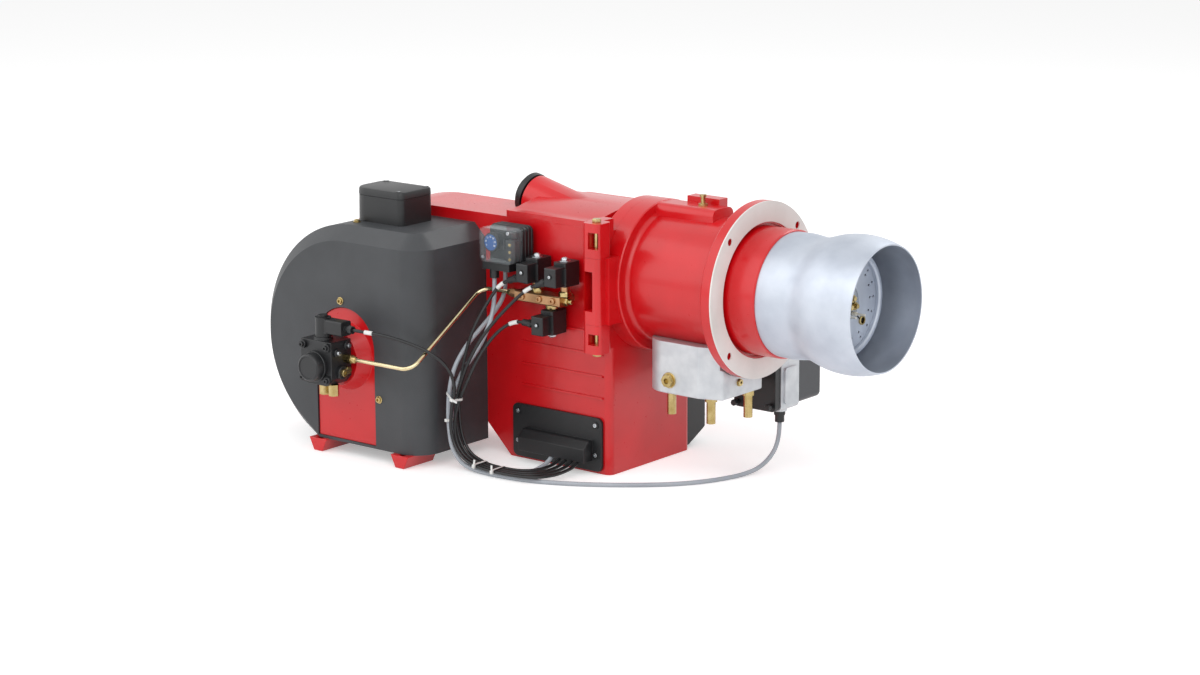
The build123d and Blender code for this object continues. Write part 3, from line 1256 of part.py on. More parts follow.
# Cover of the damper's drive, on the side away from the hinge
with BuildPart() as drive:
    with BuildSketch(Plane.YZ.offset(DRIVE_X0)) as side:
        with BuildLine():
            Polyline(
                (BOX_HALF_Y, DRIVE_Z0),
                (BOX_HALF_Y, DRIVE_Z1),
                (BOX_HALF_Y + DRIVE_D, DRIVE_Z1),
                (BOX_HALF_Y + DRIVE_D, DRIVE_Z0 + DRIVE_CUT_Z),
                (BOX_HALF_Y + DRIVE_D - DRIVE_CUT_Y, DRIVE_Z0),
                close=True,
            )
        make_face()
    extrude(amount=DRIVE_X1 - DRIVE_X0)
    fillet(drive.edges().filter_by(Axis.Z).group_by(Axis.Y)[-1], 10)
    offset(amount=-3, openings=drive.faces().sort_by(Axis.Y)[0])
finish(drive, "damper_drive_cover")


def cord(points, radius, name):
    # A cable along points chosen by hand, with bends as wide as its runs allow
    route = [Vector(*point) for point in points]
    bends = []
    for before, corner, after in zip(route, route[1:], route[2:]):
        run = min((corner - before).length, (after - corner).length)
        turn = radians((corner - before).get_angle(after - corner))
        bends.append(min(400.0, 0.45 * run / tan(turn / 2)))
    print(name, "narrowest bend", round(min(bends), 1))
    with BuildPart() as piece:
        with BuildLine():
            FilletPolyline(*points, radius=bends)
        with BuildSketch(Plane(origin=points[0], z_dir=route[1] - route[0])):
            Circle(radius)
        sweep()
    finish(piece, name)


# Cable from valve 1
cord([
    (-452.2, -190.5, -8.3), (-473.5, -190.5, -16.1), (-489, -206, -48), (-502, -224, -84),
    (-514, -238, -126), (-525, -243, -180), (-534, -244.5, -238), (-532, -245, -296),
    (-512, -245.5, -340), (-468, -244.5, -356), (-424, -244.5, -357.5), (-386, -238, -357.5),
    (-366, -212, -358), (-363, -184, -357), (-363, -158, -353), (-363, -134.5, -336),
], BLACK_R, "valve_cable_1")

# Cable from valve 2
cord([
    (-384.2, -190.5, -8.3), (-404, -190.5, -15.5), (-430, -207, -44), (-456, -226, -78),
    (-480, -242, -116), (-502, -251, -158), (-520, -254.5, -204),
    (-534, -255, -252), (-531, -255.5, -304), (-508, -254.5, -344), (-462, -254, -357),
    (-410, -254, -358), (-368, -246, -358), (-350, -216, -358.5), (-348, -186, -357.5),
    (-348, -158, -353), (-348, -134.5, -336),
], BLACK_R, "valve_cable_2")

# Cable from valve 3
cord([
    (-418, -190.5, -84), (-440, -190.5, -84), (-468, -210, -106), (-488, -238, -150),
    (-505, -256, -204), (-526, -263, -256), (-530, -264.5, -306), (-508, -264, -344),
    (-462, -263.5, -357), (-408, -263.5, -358), (-356, -256, -358), (-336, -222, -358.5),
    (-333, -188, -357.5), (-333, -158, -353), (-333, -134.5, -336),
], BLACK_R, "valve_cable_3")

# Cable from the pump's solenoid
cord([
    (-681.5, -378, -102), (-656, -378, -102), (-622, -362, -106), (-582, -344, -116),
    (-540, -324, -132), (-510, -300, -162), (-508, -282, -206), (-528, -274, -254),
    (-531, -273.5, -302), (-508, -273, -343), (-462, -273, -357), (-400, -273.5, -358),
    (-340, -264, -358), (-320, -226, -358.5), (-318, -190, -357.5), (-318, -158, -353),
    (-318, -134.5, -336),
], BLACK_R, "pump_cable")

# Grey cable from the pressure switch
cord([
    (-495, -182, -9), (-495, -182, -34), (-486, -196, -64), (-486, -212, -102),
    (-505, -224, -146), (-534, -238, -190), (-546, -252, -238), (-545, -254, -292),
    (-530, -254.5, -338), (-494, -254, -364), (-444, -254, -367), (-402, -242, -367),
    (-386, -210, -366), (-384, -182, -362), (-384, -158, -355), (-384, -135, -338),
], GREY_R, "switch_cable")

# Grey cable from the servo, along the floor and up to the hood
cord([
    (-44, 116, -279), (-44, 116, -306), (-47, 103, -338), (-53, 70, -360), (-62, 30, -367),
    (-76, -22, -367.3), (-98, -70, -367), (-132, -114, -367.4), (-178, -156, -367),
    (-234, -197, -367.3), (-292, -231, -367), (-350, -254, -367.4), (-410, -264, -367),
    (-462, -264.5, -367.3), (-508, -263.5, -362), (-537, -263, -336), (-545, -263, -290),
    (-545.5, -262, -236), (-541, -254, -184), (-530, -234, -144), (-517, -206, -112),
    (-508, -174, -84), (-504, -146, -56), (-504, -138, -26), (-504, -141, 8.4),
], GREY_R, "servo_cable")
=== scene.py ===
import json
import math

import bmesh
import bpy
from mathutils import Matrix, Vector


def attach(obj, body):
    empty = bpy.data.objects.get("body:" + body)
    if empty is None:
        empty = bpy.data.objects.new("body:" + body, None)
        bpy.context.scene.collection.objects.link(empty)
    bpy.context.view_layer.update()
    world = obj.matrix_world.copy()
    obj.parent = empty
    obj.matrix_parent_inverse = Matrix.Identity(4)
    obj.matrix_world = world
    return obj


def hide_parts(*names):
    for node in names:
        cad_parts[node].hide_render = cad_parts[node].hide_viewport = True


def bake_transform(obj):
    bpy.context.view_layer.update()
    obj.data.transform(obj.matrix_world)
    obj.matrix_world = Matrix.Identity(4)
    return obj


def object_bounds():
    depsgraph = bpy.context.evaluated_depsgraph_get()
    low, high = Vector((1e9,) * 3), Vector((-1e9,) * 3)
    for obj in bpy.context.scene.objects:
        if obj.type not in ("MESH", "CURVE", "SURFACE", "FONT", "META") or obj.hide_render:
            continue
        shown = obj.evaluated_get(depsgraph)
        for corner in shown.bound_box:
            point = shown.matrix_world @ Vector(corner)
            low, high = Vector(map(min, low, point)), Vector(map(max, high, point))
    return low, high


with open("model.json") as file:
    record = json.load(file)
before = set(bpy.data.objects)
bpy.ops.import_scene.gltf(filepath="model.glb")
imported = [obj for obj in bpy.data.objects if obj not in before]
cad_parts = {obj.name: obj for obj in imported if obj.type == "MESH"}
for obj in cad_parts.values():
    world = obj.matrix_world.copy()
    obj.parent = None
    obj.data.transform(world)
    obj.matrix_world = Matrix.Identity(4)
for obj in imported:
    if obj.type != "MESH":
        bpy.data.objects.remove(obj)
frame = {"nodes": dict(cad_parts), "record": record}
nodes = frame["nodes"]
cad_box = [list(corner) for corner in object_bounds()]


# Colours and node helpers

def linear(hex_colour):
    """An sRGB hex colour as linear red, green, blue and alpha."""
    channels = [int(hex_colour[i:i + 2], 16) / 255 for i in (1, 3, 5)]
    return [c / 12.92 if c <= 0.04045 else ((c + 0.055) / 1.055) ** 2.4 for c in channels] + [1.0]


def add_node(owner, kind, settings=None, links=None):
    """Adds one node to a material or a tree, sets its inputs or properties, and links into it."""
    tree = getattr(owner, "node_tree", owner)
    node = tree.nodes.new(kind)
    for key, value in (settings or {}).items():
        if isinstance(key, int) or key in node.inputs:
            node.inputs[key].default_value = value
        else:
            setattr(node, key, value)
    for key, output in (links or {}).items():
        tree.links.new(output, node.inputs[key])
    return node


def new_material(name):
    """An empty material with its output node, the shader and object coordinates."""
    material = bpy.data.materials.new(name)
    material.use_nodes = True
    material.node_tree.nodes.clear()
    shader = add_node(material, "ShaderNodeBsdfPrincipled")
    add_node(material, "ShaderNodeOutputMaterial", links={"Surface": shader.outputs["BSDF"]})
    place = add_node(material, "ShaderNodeTexCoord").outputs["Object"]
    return material, shader, place


def wire(material, output, socket):
    material.node_tree.links.new(output, socket)


def mixed(material, factor, low, high):
    """A colour between two hex colours by a factor output."""
    node = add_node(material, "ShaderNodeMix", {"data_type": "RGBA"})
    wire(material, factor, node.inputs["Factor"])
    for socket in node.inputs:
        if socket.type == "RGBA" and socket.name == "A":
            socket.default_value = linear(low)
        if socket.type == "RGBA" and socket.name == "B":
            socket.default_value = linear(high)
    return next(o for o in node.outputs if o.type == "RGBA")


def spread(material, factor, low, high):
    """A number between two values by a factor output."""
    return add_node(material, "ShaderNodeMapRange", {"To Min": low, "To Max": high},
                    {"Value": factor}).outputs["Result"]


def finish_of(name, colours, roughness, grain_mm, bump, metallic=0.0, cloud_mm=90.0, coat=0.0,
              coat_roughness=0.1, stretch=(1, 1, 1)):
    """A surface with a slow change of colour, a fine grain in its height and its gloss."""
    material, shader, place = new_material(name)
    mapped = add_node(material, "ShaderNodeMapping", {"Scale": stretch},
                      {"Vector": place}).outputs["Vector"]
    cloud = add_node(material, "ShaderNodeTexNoise", {"Scale": 1000 / cloud_mm, "Detail": 4.0},
                     {"Vector": place}).outputs["Fac"]
    grain = add_node(material, "ShaderNodeTexNoise", {"Scale": 1000 / grain_mm, "Detail": 3.0},
                     {"Vector": mapped}).outputs["Fac"]
    tone = add_node(material, "ShaderNodeMapRange", {"From Min": 0.3, "From Max": 0.7},
                    {"Value": cloud}).outputs["Result"]
    wire(material, mixed(material, tone, *colours), shader.inputs["Base Color"])
    wire(material, spread(material, grain, *roughness), shader.inputs["Roughness"])
    height = add_node(material, "ShaderNodeBump", {"Strength": bump[0], "Distance": bump[1] / 1000},
                      {"Height": grain})
    wire(material, height.outputs["Normal"], shader.inputs["Normal"])
    shader.inputs["Metallic"].default_value = metallic
    shader.inputs["Coat Weight"].default_value = coat
    shader.inputs["Coat Roughness"].default_value = coat_roughness
    return material


# Materials, each named for what the real surface is. The real grain of these surfaces is finer
# than half a millimetre and wouldn't show from here, so it is drawn 1 to 5 mm coarse instead.

# Stoved red enamel on cast aluminium: saturated and glossy, with a faint orange peel
red_enamel = finish_of("stoved_red_enamel", ("#c4060f", "#d20b16"), (0.24, 0.36), 5.0, (0.12, 0.3),
                       coat=0.25, coat_roughness=0.12)
# Structured powder coat: near-black grey, with a fine sand grain that scatters the light
hood_powder = finish_of("structured_powder_coat", ("#35373a", "#3e4043"), (0.42, 0.6), 1.6,
                        (0.35, 0.25))
# Satin black paint on cast iron: the casting skin under it makes the sheen uneven
pump_paint = finish_of("satin_black_on_casting", ("#17181a", "#222326"), (0.32, 0.5), 2.2,
                       (0.3, 0.3))
# Moulded black polyamide: dulled by the spark-eroded grain of its mould
moulded_black = finish_of("moulded_polyamide", ("#141517", "#1d1e20"), (0.34, 0.5), 1.2,
                          (0.22, 0.15))
# Moulded dark grey ABS of the servo's cover: a soft, even sheen
moulded_grey = finish_of("moulded_dark_abs", ("#3a3c40", "#45474b"), (0.36, 0.5), 1.4, (0.2, 0.15))
# Die-cast aluminium: bright grey and cloudy, with a satin skin
die_cast = finish_of("die_cast_aluminium", ("#b9bdc2", "#d0d3d6"), (0.4, 0.56), 2.0, (0.25, 0.2),
                     metallic=0.6, cloud_mm=30)
# Turned brass: pale yellow metal, its fine tool marks soften the reflections
turned_brass = finish_of("turned_brass", ("#a38d5a", "#c3b07e"), (0.2, 0.34), 1.0, (0.12, 0.08),
                         metallic=1.0, cloud_mm=15)
# Machined red brass of the valve block: browner and duller than the fittings
red_brass = finish_of("machined_red_brass", ("#a07855", "#bd9570"), (0.28, 0.42), 1.2, (0.15, 0.1),
                      metallic=1.0, cloud_mm=20)
# Zinc-plated steel: bright metal with a cool tone
zinc_plate = finish_of("zinc_plated_steel", ("#a9adb2", "#c4c7ca"), (0.2, 0.34), 1.4, (0.08, 0.06),
                       metallic=1.0, cloud_mm=12)
# Drawn tube with a pale gold passivation over the bright metal: sharp highlights along it
bright_pipe = finish_of("gold_passivated_tube", ("#cdbd94", "#ddd0ac"), (0.14, 0.24), 1.5,
                        (0.05, 0.05), metallic=1.0, cloud_mm=25)
# Rolled heat-resisting sheet: pale and cool, with broad soft bands from the rolling
rolled_sheet = finish_of("rolled_heat_resisting_sheet", ("#b3bac6", "#c9cfd9"), (0.42, 0.52), 1.2,
                         (0.1, 0.08), metallic=0.75, cloud_mm=70, stretch=(0.15, 1, 1))
# Ceramic fibre gasket: white, matt and slightly fibrous
gasket_fibre = finish_of("ceramic_fibre_gasket", ("#dcdcd8", "#ecebe8"), (0.8, 0.95), 1.8,
                         (0.5, 0.4))
# Glazed porcelain insulator: warm white with a wet gloss
porcelain = finish_of("glazed_porcelain", ("#e2ded2", "#f0ece2"), (0.1, 0.2), 3.0, (0.04, 0.1))
# Blue moulded dial: an even colour with a low sheen
dial_plastic = finish_of("moulded_blue_dial", ("#1f4f8f", "#2a60a3"), (0.25, 0.38), 1.5, (0.1, 0.1))
# PVC cable sheath, black and grey: smooth and slightly waxy
black_sheath = finish_of("black_pvc_sheath", ("#0f1012", "#191a1c"), (0.3, 0.44), 2.0, (0.1, 0.1))
grey_sheath = finish_of("grey_pvc_sheath", ("#9fa5ad", "#b0b6bd"), (0.34, 0.48), 2.0, (0.1, 0.1))
# White nylon of the ties and marker sleeves: slightly glossy
white_nylon = finish_of("white_nylon", ("#dcdedc", "#eeefed"), (0.35, 0.5), 1.5, (0.1, 0.1))


def clear_polycarbonate():
    """Clear moulded cover: see-through from the front, pale and bright where seen edgewise."""
    material, shader, place = new_material("clear_polycarbonate")
    grain = add_node(material, "ShaderNodeTexNoise", {"Scale": 60.0},
                     {"Vector": place}).outputs["Fac"]
    wire(material, mixed(material, grain, "#cdd8de", "#dde6ea"), shader.inputs["Base Color"])
    wire(material, spread(material, grain, 0.05, 0.1), shader.inputs["Roughness"])
    edgewise = add_node(material, "ShaderNodeLayerWeight", {"Blend": 0.2}).outputs["Facing"]
    wire(material, spread(material, edgewise, 0.01, 0.4), shader.inputs["Alpha"])
    return material


clear_cover = clear_polycarbonate()

node_finishes = {
    red_enamel: ["housing", "top_cover", "intake_panel", "feet", "drum", "flame_tube_collar"],
    hood_powder: ["intake_hood"],
    pump_paint: ["oil_pump", "pump_cover", "motor"],
    moulded_black: ["sight_cap", "terminal_box", "pump_solenoid", "pump_plug", "valve_coil_1",
                    "valve_coil_2", "valve_coil_3", "valve_plug_1", "valve_plug_2",
                    "valve_plug_3", "cable_plate", "damper_drive_cover", "servo_front",
                    "servo_gland", "switch_body"],
    moulded_grey: ["servo_cover"],
    die_cast: ["oil_regulator_block", "servo_body"],
    turned_brass: ["test_nipple", "oil_nozzles", "regulator_plugs", "hose_nipples", "pump_ports",
                   "hood_screws", "hinge_pin"],
    red_brass: ["valve_block"],
    zinc_plate: ["coil_nut_1", "coil_nut_2", "coil_nut_3", "plate_screws", "closing_screws",
                 "nozzle_lance", "servo_gear_motor", "regulator_spindle", "air_damper",
                 "fan_rotor"],
    bright_pipe: ["oil_pipe"],
    rolled_sheet: ["flame_tube", "diffuser_disc", "diffuser_ring"],
    gasket_fibre: ["gasket"],
    porcelain: ["electrodes"],
    dial_plastic: ["switch_dial"],
    clear_cover: ["switch_cover"],
    black_sheath: ["valve_cable_1", "valve_cable_2", "valve_cable_3", "pump_cable"],
    grey_sheath: ["switch_cable", "servo_cable"],
}
finish_for = {name: material for material, names in node_finishes.items() for name in names}
body_for = {name: body for body, names in frame["record"]["behaviour"]["bodies"].items()
            for name in names}

for name, node in nodes.items():
    node.data.materials.clear()
    node.data.materials.append(finish_for[name])


# Rounded stand-ins for the pieces whose edges catch the light

MERGE_WITHIN_M = 0.00002
FLAT_WITHIN_DEG = 1.0
BEVEL_OVER_DEG = 32.0


def rounded(name, width_mm):
    """A copy of a CAD node with its sharp edges rounded by the width."""
    source = nodes[name]
    mesh = source.data.copy()
    mesh.name = name + "_edges"
    shape = bmesh.new()
    shape.from_mesh(mesh)
    bmesh.ops.remove_doubles(shape, verts=shape.verts, dist=MERGE_WITHIN_M)
    bmesh.ops.dissolve_limit(shape, angle_limit=math.radians(FLAT_WITHIN_DEG), verts=shape.verts,
                             edges=shape.edges, delimit={"NORMAL"})
    shape.to_mesh(mesh)
    shape.free()
    piece = bpy.data.objects.new(name + "_finished", mesh)
    bpy.context.scene.collection.objects.link(piece)
    bevel = piece.modifiers.new("edge", "BEVEL")
    bevel.width = width_mm / 1000
    bevel.segments = 2
    bevel.limit_method = "ANGLE"
    bevel.angle_limit = math.radians(BEVEL_OVER_DEG)
    bevel.harden_normals = False
    for polygon in mesh.polygons:
        polygon.use_smooth = True
    normal = piece.modifiers.new("shade", "WEIGHTED_NORMAL")
    normal.keep_sharp = True
    mesh.materials.clear()
    mesh.materials.append(finish_for[name])
    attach(piece, body_for[name])
    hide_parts(name)


edge_widths = {
    "housing": 1.6, "top_cover": 2.5, "intake_hood": 1.8, "intake_panel": 1.5, "feet": 1.2,
    "drum": 1.2, "oil_pump": 1.5, "pump_plug": 0.6, "valve_block": 0.6,
    "valve_coil_1": 0.8, "valve_coil_2": 0.8, "valve_coil_3": 0.8, "valve_plug_1": 0.8,
    "valve_plug_2": 0.8, "valve_plug_3": 0.8, "cable_plate": 1.0, "damper_drive_cover": 1.5,
    "servo_front": 0.8, "servo_body": 1.2, "switch_body": 1.2, "oil_regulator_block": 1.5,
    "hinge_pin": 0.5, "sight_cap": 1.2, "pump_ports": 0.5, "gasket": 0.4,
}
for name, width in edge_widths.items():
    rounded(name, width)


# Turned bodies, blocks and plates for the finished pieces, all given in millimetres

CORNER_STEPS = 6
SHARP_OVER_DEG = 35


def ring_reach(radius, angle, corners):
    """How far a ring reaches at an angle: round, or straight between its corners."""
    if not corners:
        return radius
    step = 2 * math.pi / corners
    return radius * math.cos(step / 2) / math.cos(angle % step - step / 2)


def turned(shape, rings, place=(0, 0, 0), aim=(0, 0, 1), sides=24, hollow=False):
    """Adds a turned or hexagonal body: rings of radius, height and corners along an aim."""
    axes = Vector(aim).to_track_quat("Z", "Y").to_matrix()
    loops = []
    for radius, height, *corners in rings:
        count = sides if radius else 1
        loop = []
        for k in range(count):
            angle = 2 * math.pi * k / count
            reach = ring_reach(radius, angle, corners[0] if corners else 0)
            local = Vector((reach * math.cos(angle), reach * math.sin(angle), height))
            loop.append(shape.verts.new((Vector(place) + axes @ local) / 1000))
        loops.append(loop)
    following = loops[1:] + loops[:1] if hollow else loops[1:]
    for low, high in zip(loops, following):
        for k in range(sides):
            ahead = (k + 1) % sides
            corners = [low[k % len(low)], low[ahead % len(low)],
                       high[ahead % len(high)], high[k % len(high)]]
            shape.faces.new(list(dict.fromkeys(corners)))


def block(shape, centre, size, edge=0.8, axes=None):
    """Adds a block with rounded edges."""
    turn = (axes or Matrix.Identity(3)).to_4x4()
    stretch = Matrix.Diagonal([s / 1000 for s in size] + [1.0])
    place = Matrix.Translation(Vector(centre) / 1000)
    made = bmesh.ops.create_cube(shape, size=1, matrix=place @ turn @ stretch)
    edges = list(dict.fromkeys(e for v in made["verts"] for e in v.link_edges))
    bmesh.ops.bevel(shape, geom=edges, offset=edge / 1000, segments=2, profile=0.5,
                    affect="EDGES")


def rectangle(middle, size, radii):
    """Outline of a rectangle with its own radius at each corner, starting at the lowest values."""
    outline = []
    ways = ((-1, -1), (1, -1), (1, 1), (-1, 1))
    for way, radius, start in zip(ways, radii, (180, 270, 0, 90)):
        u, v = [m + s * (w / 2 - radius) for m, s, w in zip(middle, way, size)]
        for k in range(CORNER_STEPS + 1):
            angle = math.radians(start + 90 / CORNER_STEPS * k)
            outline.append((u + radius * math.cos(angle), v + radius * math.sin(angle)))
    return outline


def plate(shape, levels, standing=False):
    """Adds a plate through outlines at rising levels: flat, or standing with levels along Y."""
    loops = []
    for outline, level in levels:
        spots = [(u, level, v) if standing else (u, v, level) for u, v in outline]
        loops.append([shape.verts.new(Vector(spot) / 1000) for spot in spots])
    count = len(loops[0])
    for low, high in zip(loops, loops[1:]):
        for k in range(count):
            ahead = (k + 1) % count
            shape.faces.new((low[k], low[ahead], high[ahead], high[k]))
    shape.faces.new(loops[0])
    shape.faces.new(loops[-1])


def mesh_of(shape, name):
    """The shape as a mesh with outward faces, smooth but for its sharp edges."""
    bmesh.ops.recalc_face_normals(shape, faces=shape.faces)
    mesh = bpy.data.meshes.new(name)
    shape.to_mesh(mesh)
    shape.free()
    for polygon in mesh.polygons:
        polygon.use_smooth = True
    mesh.set_sharp_from_angle(angle=math.radians(SHARP_OVER_DEG))
    return mesh


def settle(piece, body, stands_for=()):
    """Links a piece to the scene and its body, and hides the nodes that it stands for."""
    bpy.context.scene.collection.objects.link(piece)
    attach(piece, body)
    if stands_for:
        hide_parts(*stands_for)
    return piece


def finished(name, shape, material, body="housing_body", stands_for=()):
    """A finished piece from a shape."""
    mesh = mesh_of(shape, name)
    mesh.materials.append(material)
    settle(bpy.data.objects.new(name, mesh), body, stands_for)


def repeat_tree():
    """Node group: one copy of a template at each point, along the point's aim, turned by chance."""
    tree = bpy.data.node_groups.new("template_at_each_point", "GeometryNodeTree")
    for label, kind in (("Geometry", "Geometry"), ("Template", "Object"), ("Size", "Float"),
                        ("Largest turn", "Float"), ("Seed", "Int"), ("Finish", "Material")):
        tree.interface.new_socket(label, in_out="INPUT", socket_type="NodeSocket" + kind)
    tree.interface.new_socket("Geometry", in_out="OUTPUT", socket_type="NodeSocketGeometry")
    given = add_node(tree, "NodeGroupInput").outputs
    template = add_node(tree, "GeometryNodeObjectInfo", {"transform_space": "ORIGINAL"},
                        {"Object": given["Template"]}).outputs["Geometry"]
    aim = add_node(tree, "GeometryNodeInputNamedAttribute",
                   {"data_type": "FLOAT_VECTOR", "Name": "aim"}).outputs["Attribute"]
    along = add_node(tree, "FunctionNodeAlignRotationToVector", {"axis": "Z"}, {"Vector": aim})
    chance = add_node(tree, "FunctionNodeRandomValue", {"data_type": "FLOAT", 2: 0.0},
                      {3: given["Largest turn"], "Seed": given["Seed"]}).outputs[1]
    twist = add_node(tree, "FunctionNodeAxisAngleToRotation", {"Axis": (0, 0, 1)},
                     {"Angle": chance})
    turn = add_node(tree, "FunctionNodeRotateRotation", {"rotation_space": "LOCAL"},
                    {"Rotation": along.outputs["Rotation"], "Rotate By": twist.outputs["Rotation"]})
    copies = add_node(tree, "GeometryNodeInstanceOnPoints",
                      links={"Points": given["Geometry"], "Instance": template,
                             "Rotation": turn.outputs["Rotation"], "Scale": given["Size"]})
    real = add_node(tree, "GeometryNodeRealizeInstances",
                    links={"Geometry": copies.outputs["Instances"]})
    painted = add_node(tree, "GeometryNodeSetMaterial",
                       links={"Geometry": real.outputs["Geometry"], "Material": given["Finish"]})
    add_node(tree, "NodeGroupOutput", links={"Geometry": painted.outputs["Geometry"]})
    return tree


at_each_point = repeat_tree()


def repeated(name, shape, spots, material, body="housing_body", stands_for=(),
             most_turn=1.0):
    """Copies of a shape at spots of place and aim, made by Geometry Nodes, kept as one mesh."""
    template = bpy.data.objects.new(name + "_template", mesh_of(shape, name + "_template"))
    points = bpy.data.meshes.new(name)
    points.from_pydata([Vector(place) / 1000 for place, _ in spots], [], [])
    aims = points.attributes.new("aim", "FLOAT_VECTOR", "POINT")
    for value, (_, aim) in zip(aims.data, spots):
        value.vector = aim
    host = bpy.data.objects.new(name + "_points", points)
    for helper in (template, host):
        bpy.context.scene.collection.objects.link(helper)
    copier = host.modifiers.new("copies", "NODES")
    copier.node_group = at_each_point
    values = {"Template": template, "Size": 1.0, "Largest turn": most_turn, "Seed": 7,
              "Finish": material}
    for socket in at_each_point.interface.items_tree:
        if socket.in_out == "INPUT" and socket.name in values:
            copier[socket.identifier] = values[socket.name]
    bpy.context.view_layer.update()
    evaluated = host.evaluated_get(bpy.context.evaluated_depsgraph_get())
    mesh = bpy.data.meshes.new_from_object(evaluated)
    mesh.name = name
    host.modifiers.remove(copier)
    for helper in (host, template):
        bpy.data.objects.remove(helper)
    settle(bpy.data.objects.new(name, mesh), body, stands_for)


# Ways that a piece can point: to the pump's side, to the far side, up, down, to the flame, and away
FRONT = (0, -1, 0)
REAR = (0, 1, 0)
UP = (0, 0, 1)
DOWN = (0, 0, -1)
ALONG = (1, 0, 0)
BACK = (-1, 0, 0)

# Where the main pieces sit on the solids, in millimetres
PUMP_X = -757
PUMP_FACE_Y = -400
PUMP_Z = -172
PUMP_COVER_Z = -178
HOOD_FRONT_Y = -320
PLATE_FRONT_Y = -132
LEFT_VALVE_X = -410
RIGHT_VALVE_X = -342
LOWER_VALVE_X = -374
VALVE_Y = -158
VALVE_Z = -39
PLUG_CABLE_Y = -190.5
TERMINAL_MIDDLE = (-731, -205)
TERMINAL_SIZE = (128, 92)
TERMINAL_CORNERS = (32, 12, 12, 14)
TERMINAL_TOP_Z = 143
SWITCH_MIDDLE = (-478, 49)
SWITCH_COVER_Y = -198
DIAL_PLACE = (-494, -161, 60)
DIAL_FACE_Y = -194.1
BLOCK_MIDDLE_Z = -172
BOX_BACK_Y = 125
SCROLL_BACK_PLACE = (-757, 15, -150)
SCROLL_SCREW_R = 196
DRIVE_BACK_Y = 192


def socket_screw(radius, height, socket):
    """A round-headed screw with a hexagon socket."""
    shape = bmesh.new()
    turned(shape, [(0, 0), (radius, 0), (radius, 0.85 * height), (0.9 * radius, height),
                   (socket, height, 6), (socket * 0.94, 0.35 * height, 6), (0, 0.3 * height)])
    return shape


def at_valves(y, upper_z, lower_z, upper_aim=FRONT, lower_aim=FRONT):
    """A spot at each valve: two above the valve block and one below it."""
    return [((LEFT_VALVE_X, y, upper_z), upper_aim), ((RIGHT_VALVE_X, y, upper_z), upper_aim),
            ((LOWER_VALVE_X, y, lower_z), lower_aim)]


# Brass socket screws on washers in the hood's front and top
hood_screw = socket_screw(5.6, 5.0, 3.2)
turned(hood_screw, [(0, 0), (7.6, 0), (7.6, 1.0), (7.0, 1.4), (0, 1.4)])
repeated("hood_brass_screws", hood_screw,
         [((-766, HOOD_FRONT_Y, -67), FRONT), ((-670, HOOD_FRONT_Y, -247), FRONT),
          ((-771, -264, 78), UP)],
         turned_brass, stands_for=["hood_screws"])

# Screws of the cable plate, each in a small raised ring
plate_corners = [((x, PLATE_FRONT_Y, z), FRONT) for x in (-482, -292) for z in (-276, -334)]
repeated("plate_socket_screws", socket_screw(4.2, 3.0, 2.3), plate_corners, zinc_plate,
         stands_for=["plate_screws"])
plate_ring = bmesh.new()
turned(plate_ring, [(4.6, 0), (7.4, 0), (7.0, 1.6), (5.0, 1.6)], hollow=True)
repeated("plate_screw_rings", plate_ring, plate_corners, moulded_black)

# Domed silver nuts on their washers, on the solenoid coils
dome_nut = bmesh.new()
turned(dome_nut, [(0, 0), (11.0, 0), (11.0, 1.0), (10.4, 1.5), (8.6, 1.5, 6), (8.6, 4.4, 6),
                  (7.2, 5.4), (5.6, 7.2), (3.0, 8.4), (0, 8.8)])
repeated("coil_dome_nuts", dome_nut, at_valves(VALVE_Y, 37, -105, UP, DOWN), zinc_plate,
         stands_for=["coil_nut_1", "coil_nut_2", "coil_nut_3"])

# Connector plugs: white screw in a collar, and the frame that seals the plug to its coil
plug_fronts = at_valves(-204.5, 14, -82)
plug_screw = bmesh.new()
turned(plug_screw, [(0, -0.5), (2.9, -0.5), (2.9, 1.5), (2.5, 1.9), (1.2, 1.9, 6), (1.1, 0.6, 6),
                    (0, 0.6)])
repeated("plug_screws", plug_screw, plug_fronts, zinc_plate)
plug_collar = bmesh.new()
turned(plug_collar, [(3.2, -0.5), (5.6, -0.5), (5.2, 1.6), (3.4, 1.6)], hollow=True)
repeated("plug_collars", plug_collar, plug_fronts, moulded_black)
plug_frame = bmesh.new()
block(plug_frame, (0, 0, 0), (40, 31, 3.0), 0.7)
repeated("plug_frames", plug_frame, at_valves(-178.2, 12, -84), moulded_black,
         most_turn=0.0)

# Gland nuts where the cables leave their plugs; the upper two slope down with their cables
gland_nut = bmesh.new()
turned(gland_nut, [(4.2, 0), (8.2, 0, 6), (8.2, 7, 6), (7.4, 8.4), (4.2, 8.4)], hollow=True)
gland_slope = (-math.cos(math.radians(20)), 0, -math.sin(math.radians(20)))
repeated("plug_gland_nuts", gland_nut,
         [((-431, PLUG_CABLE_Y, -0.5), gland_slope), ((-363, PLUG_CABLE_Y, -0.5), gland_slope),
          ((-396, PLUG_CABLE_Y, -84), BACK), ((-688, -378, -102), ALONG)],
         moulded_black)

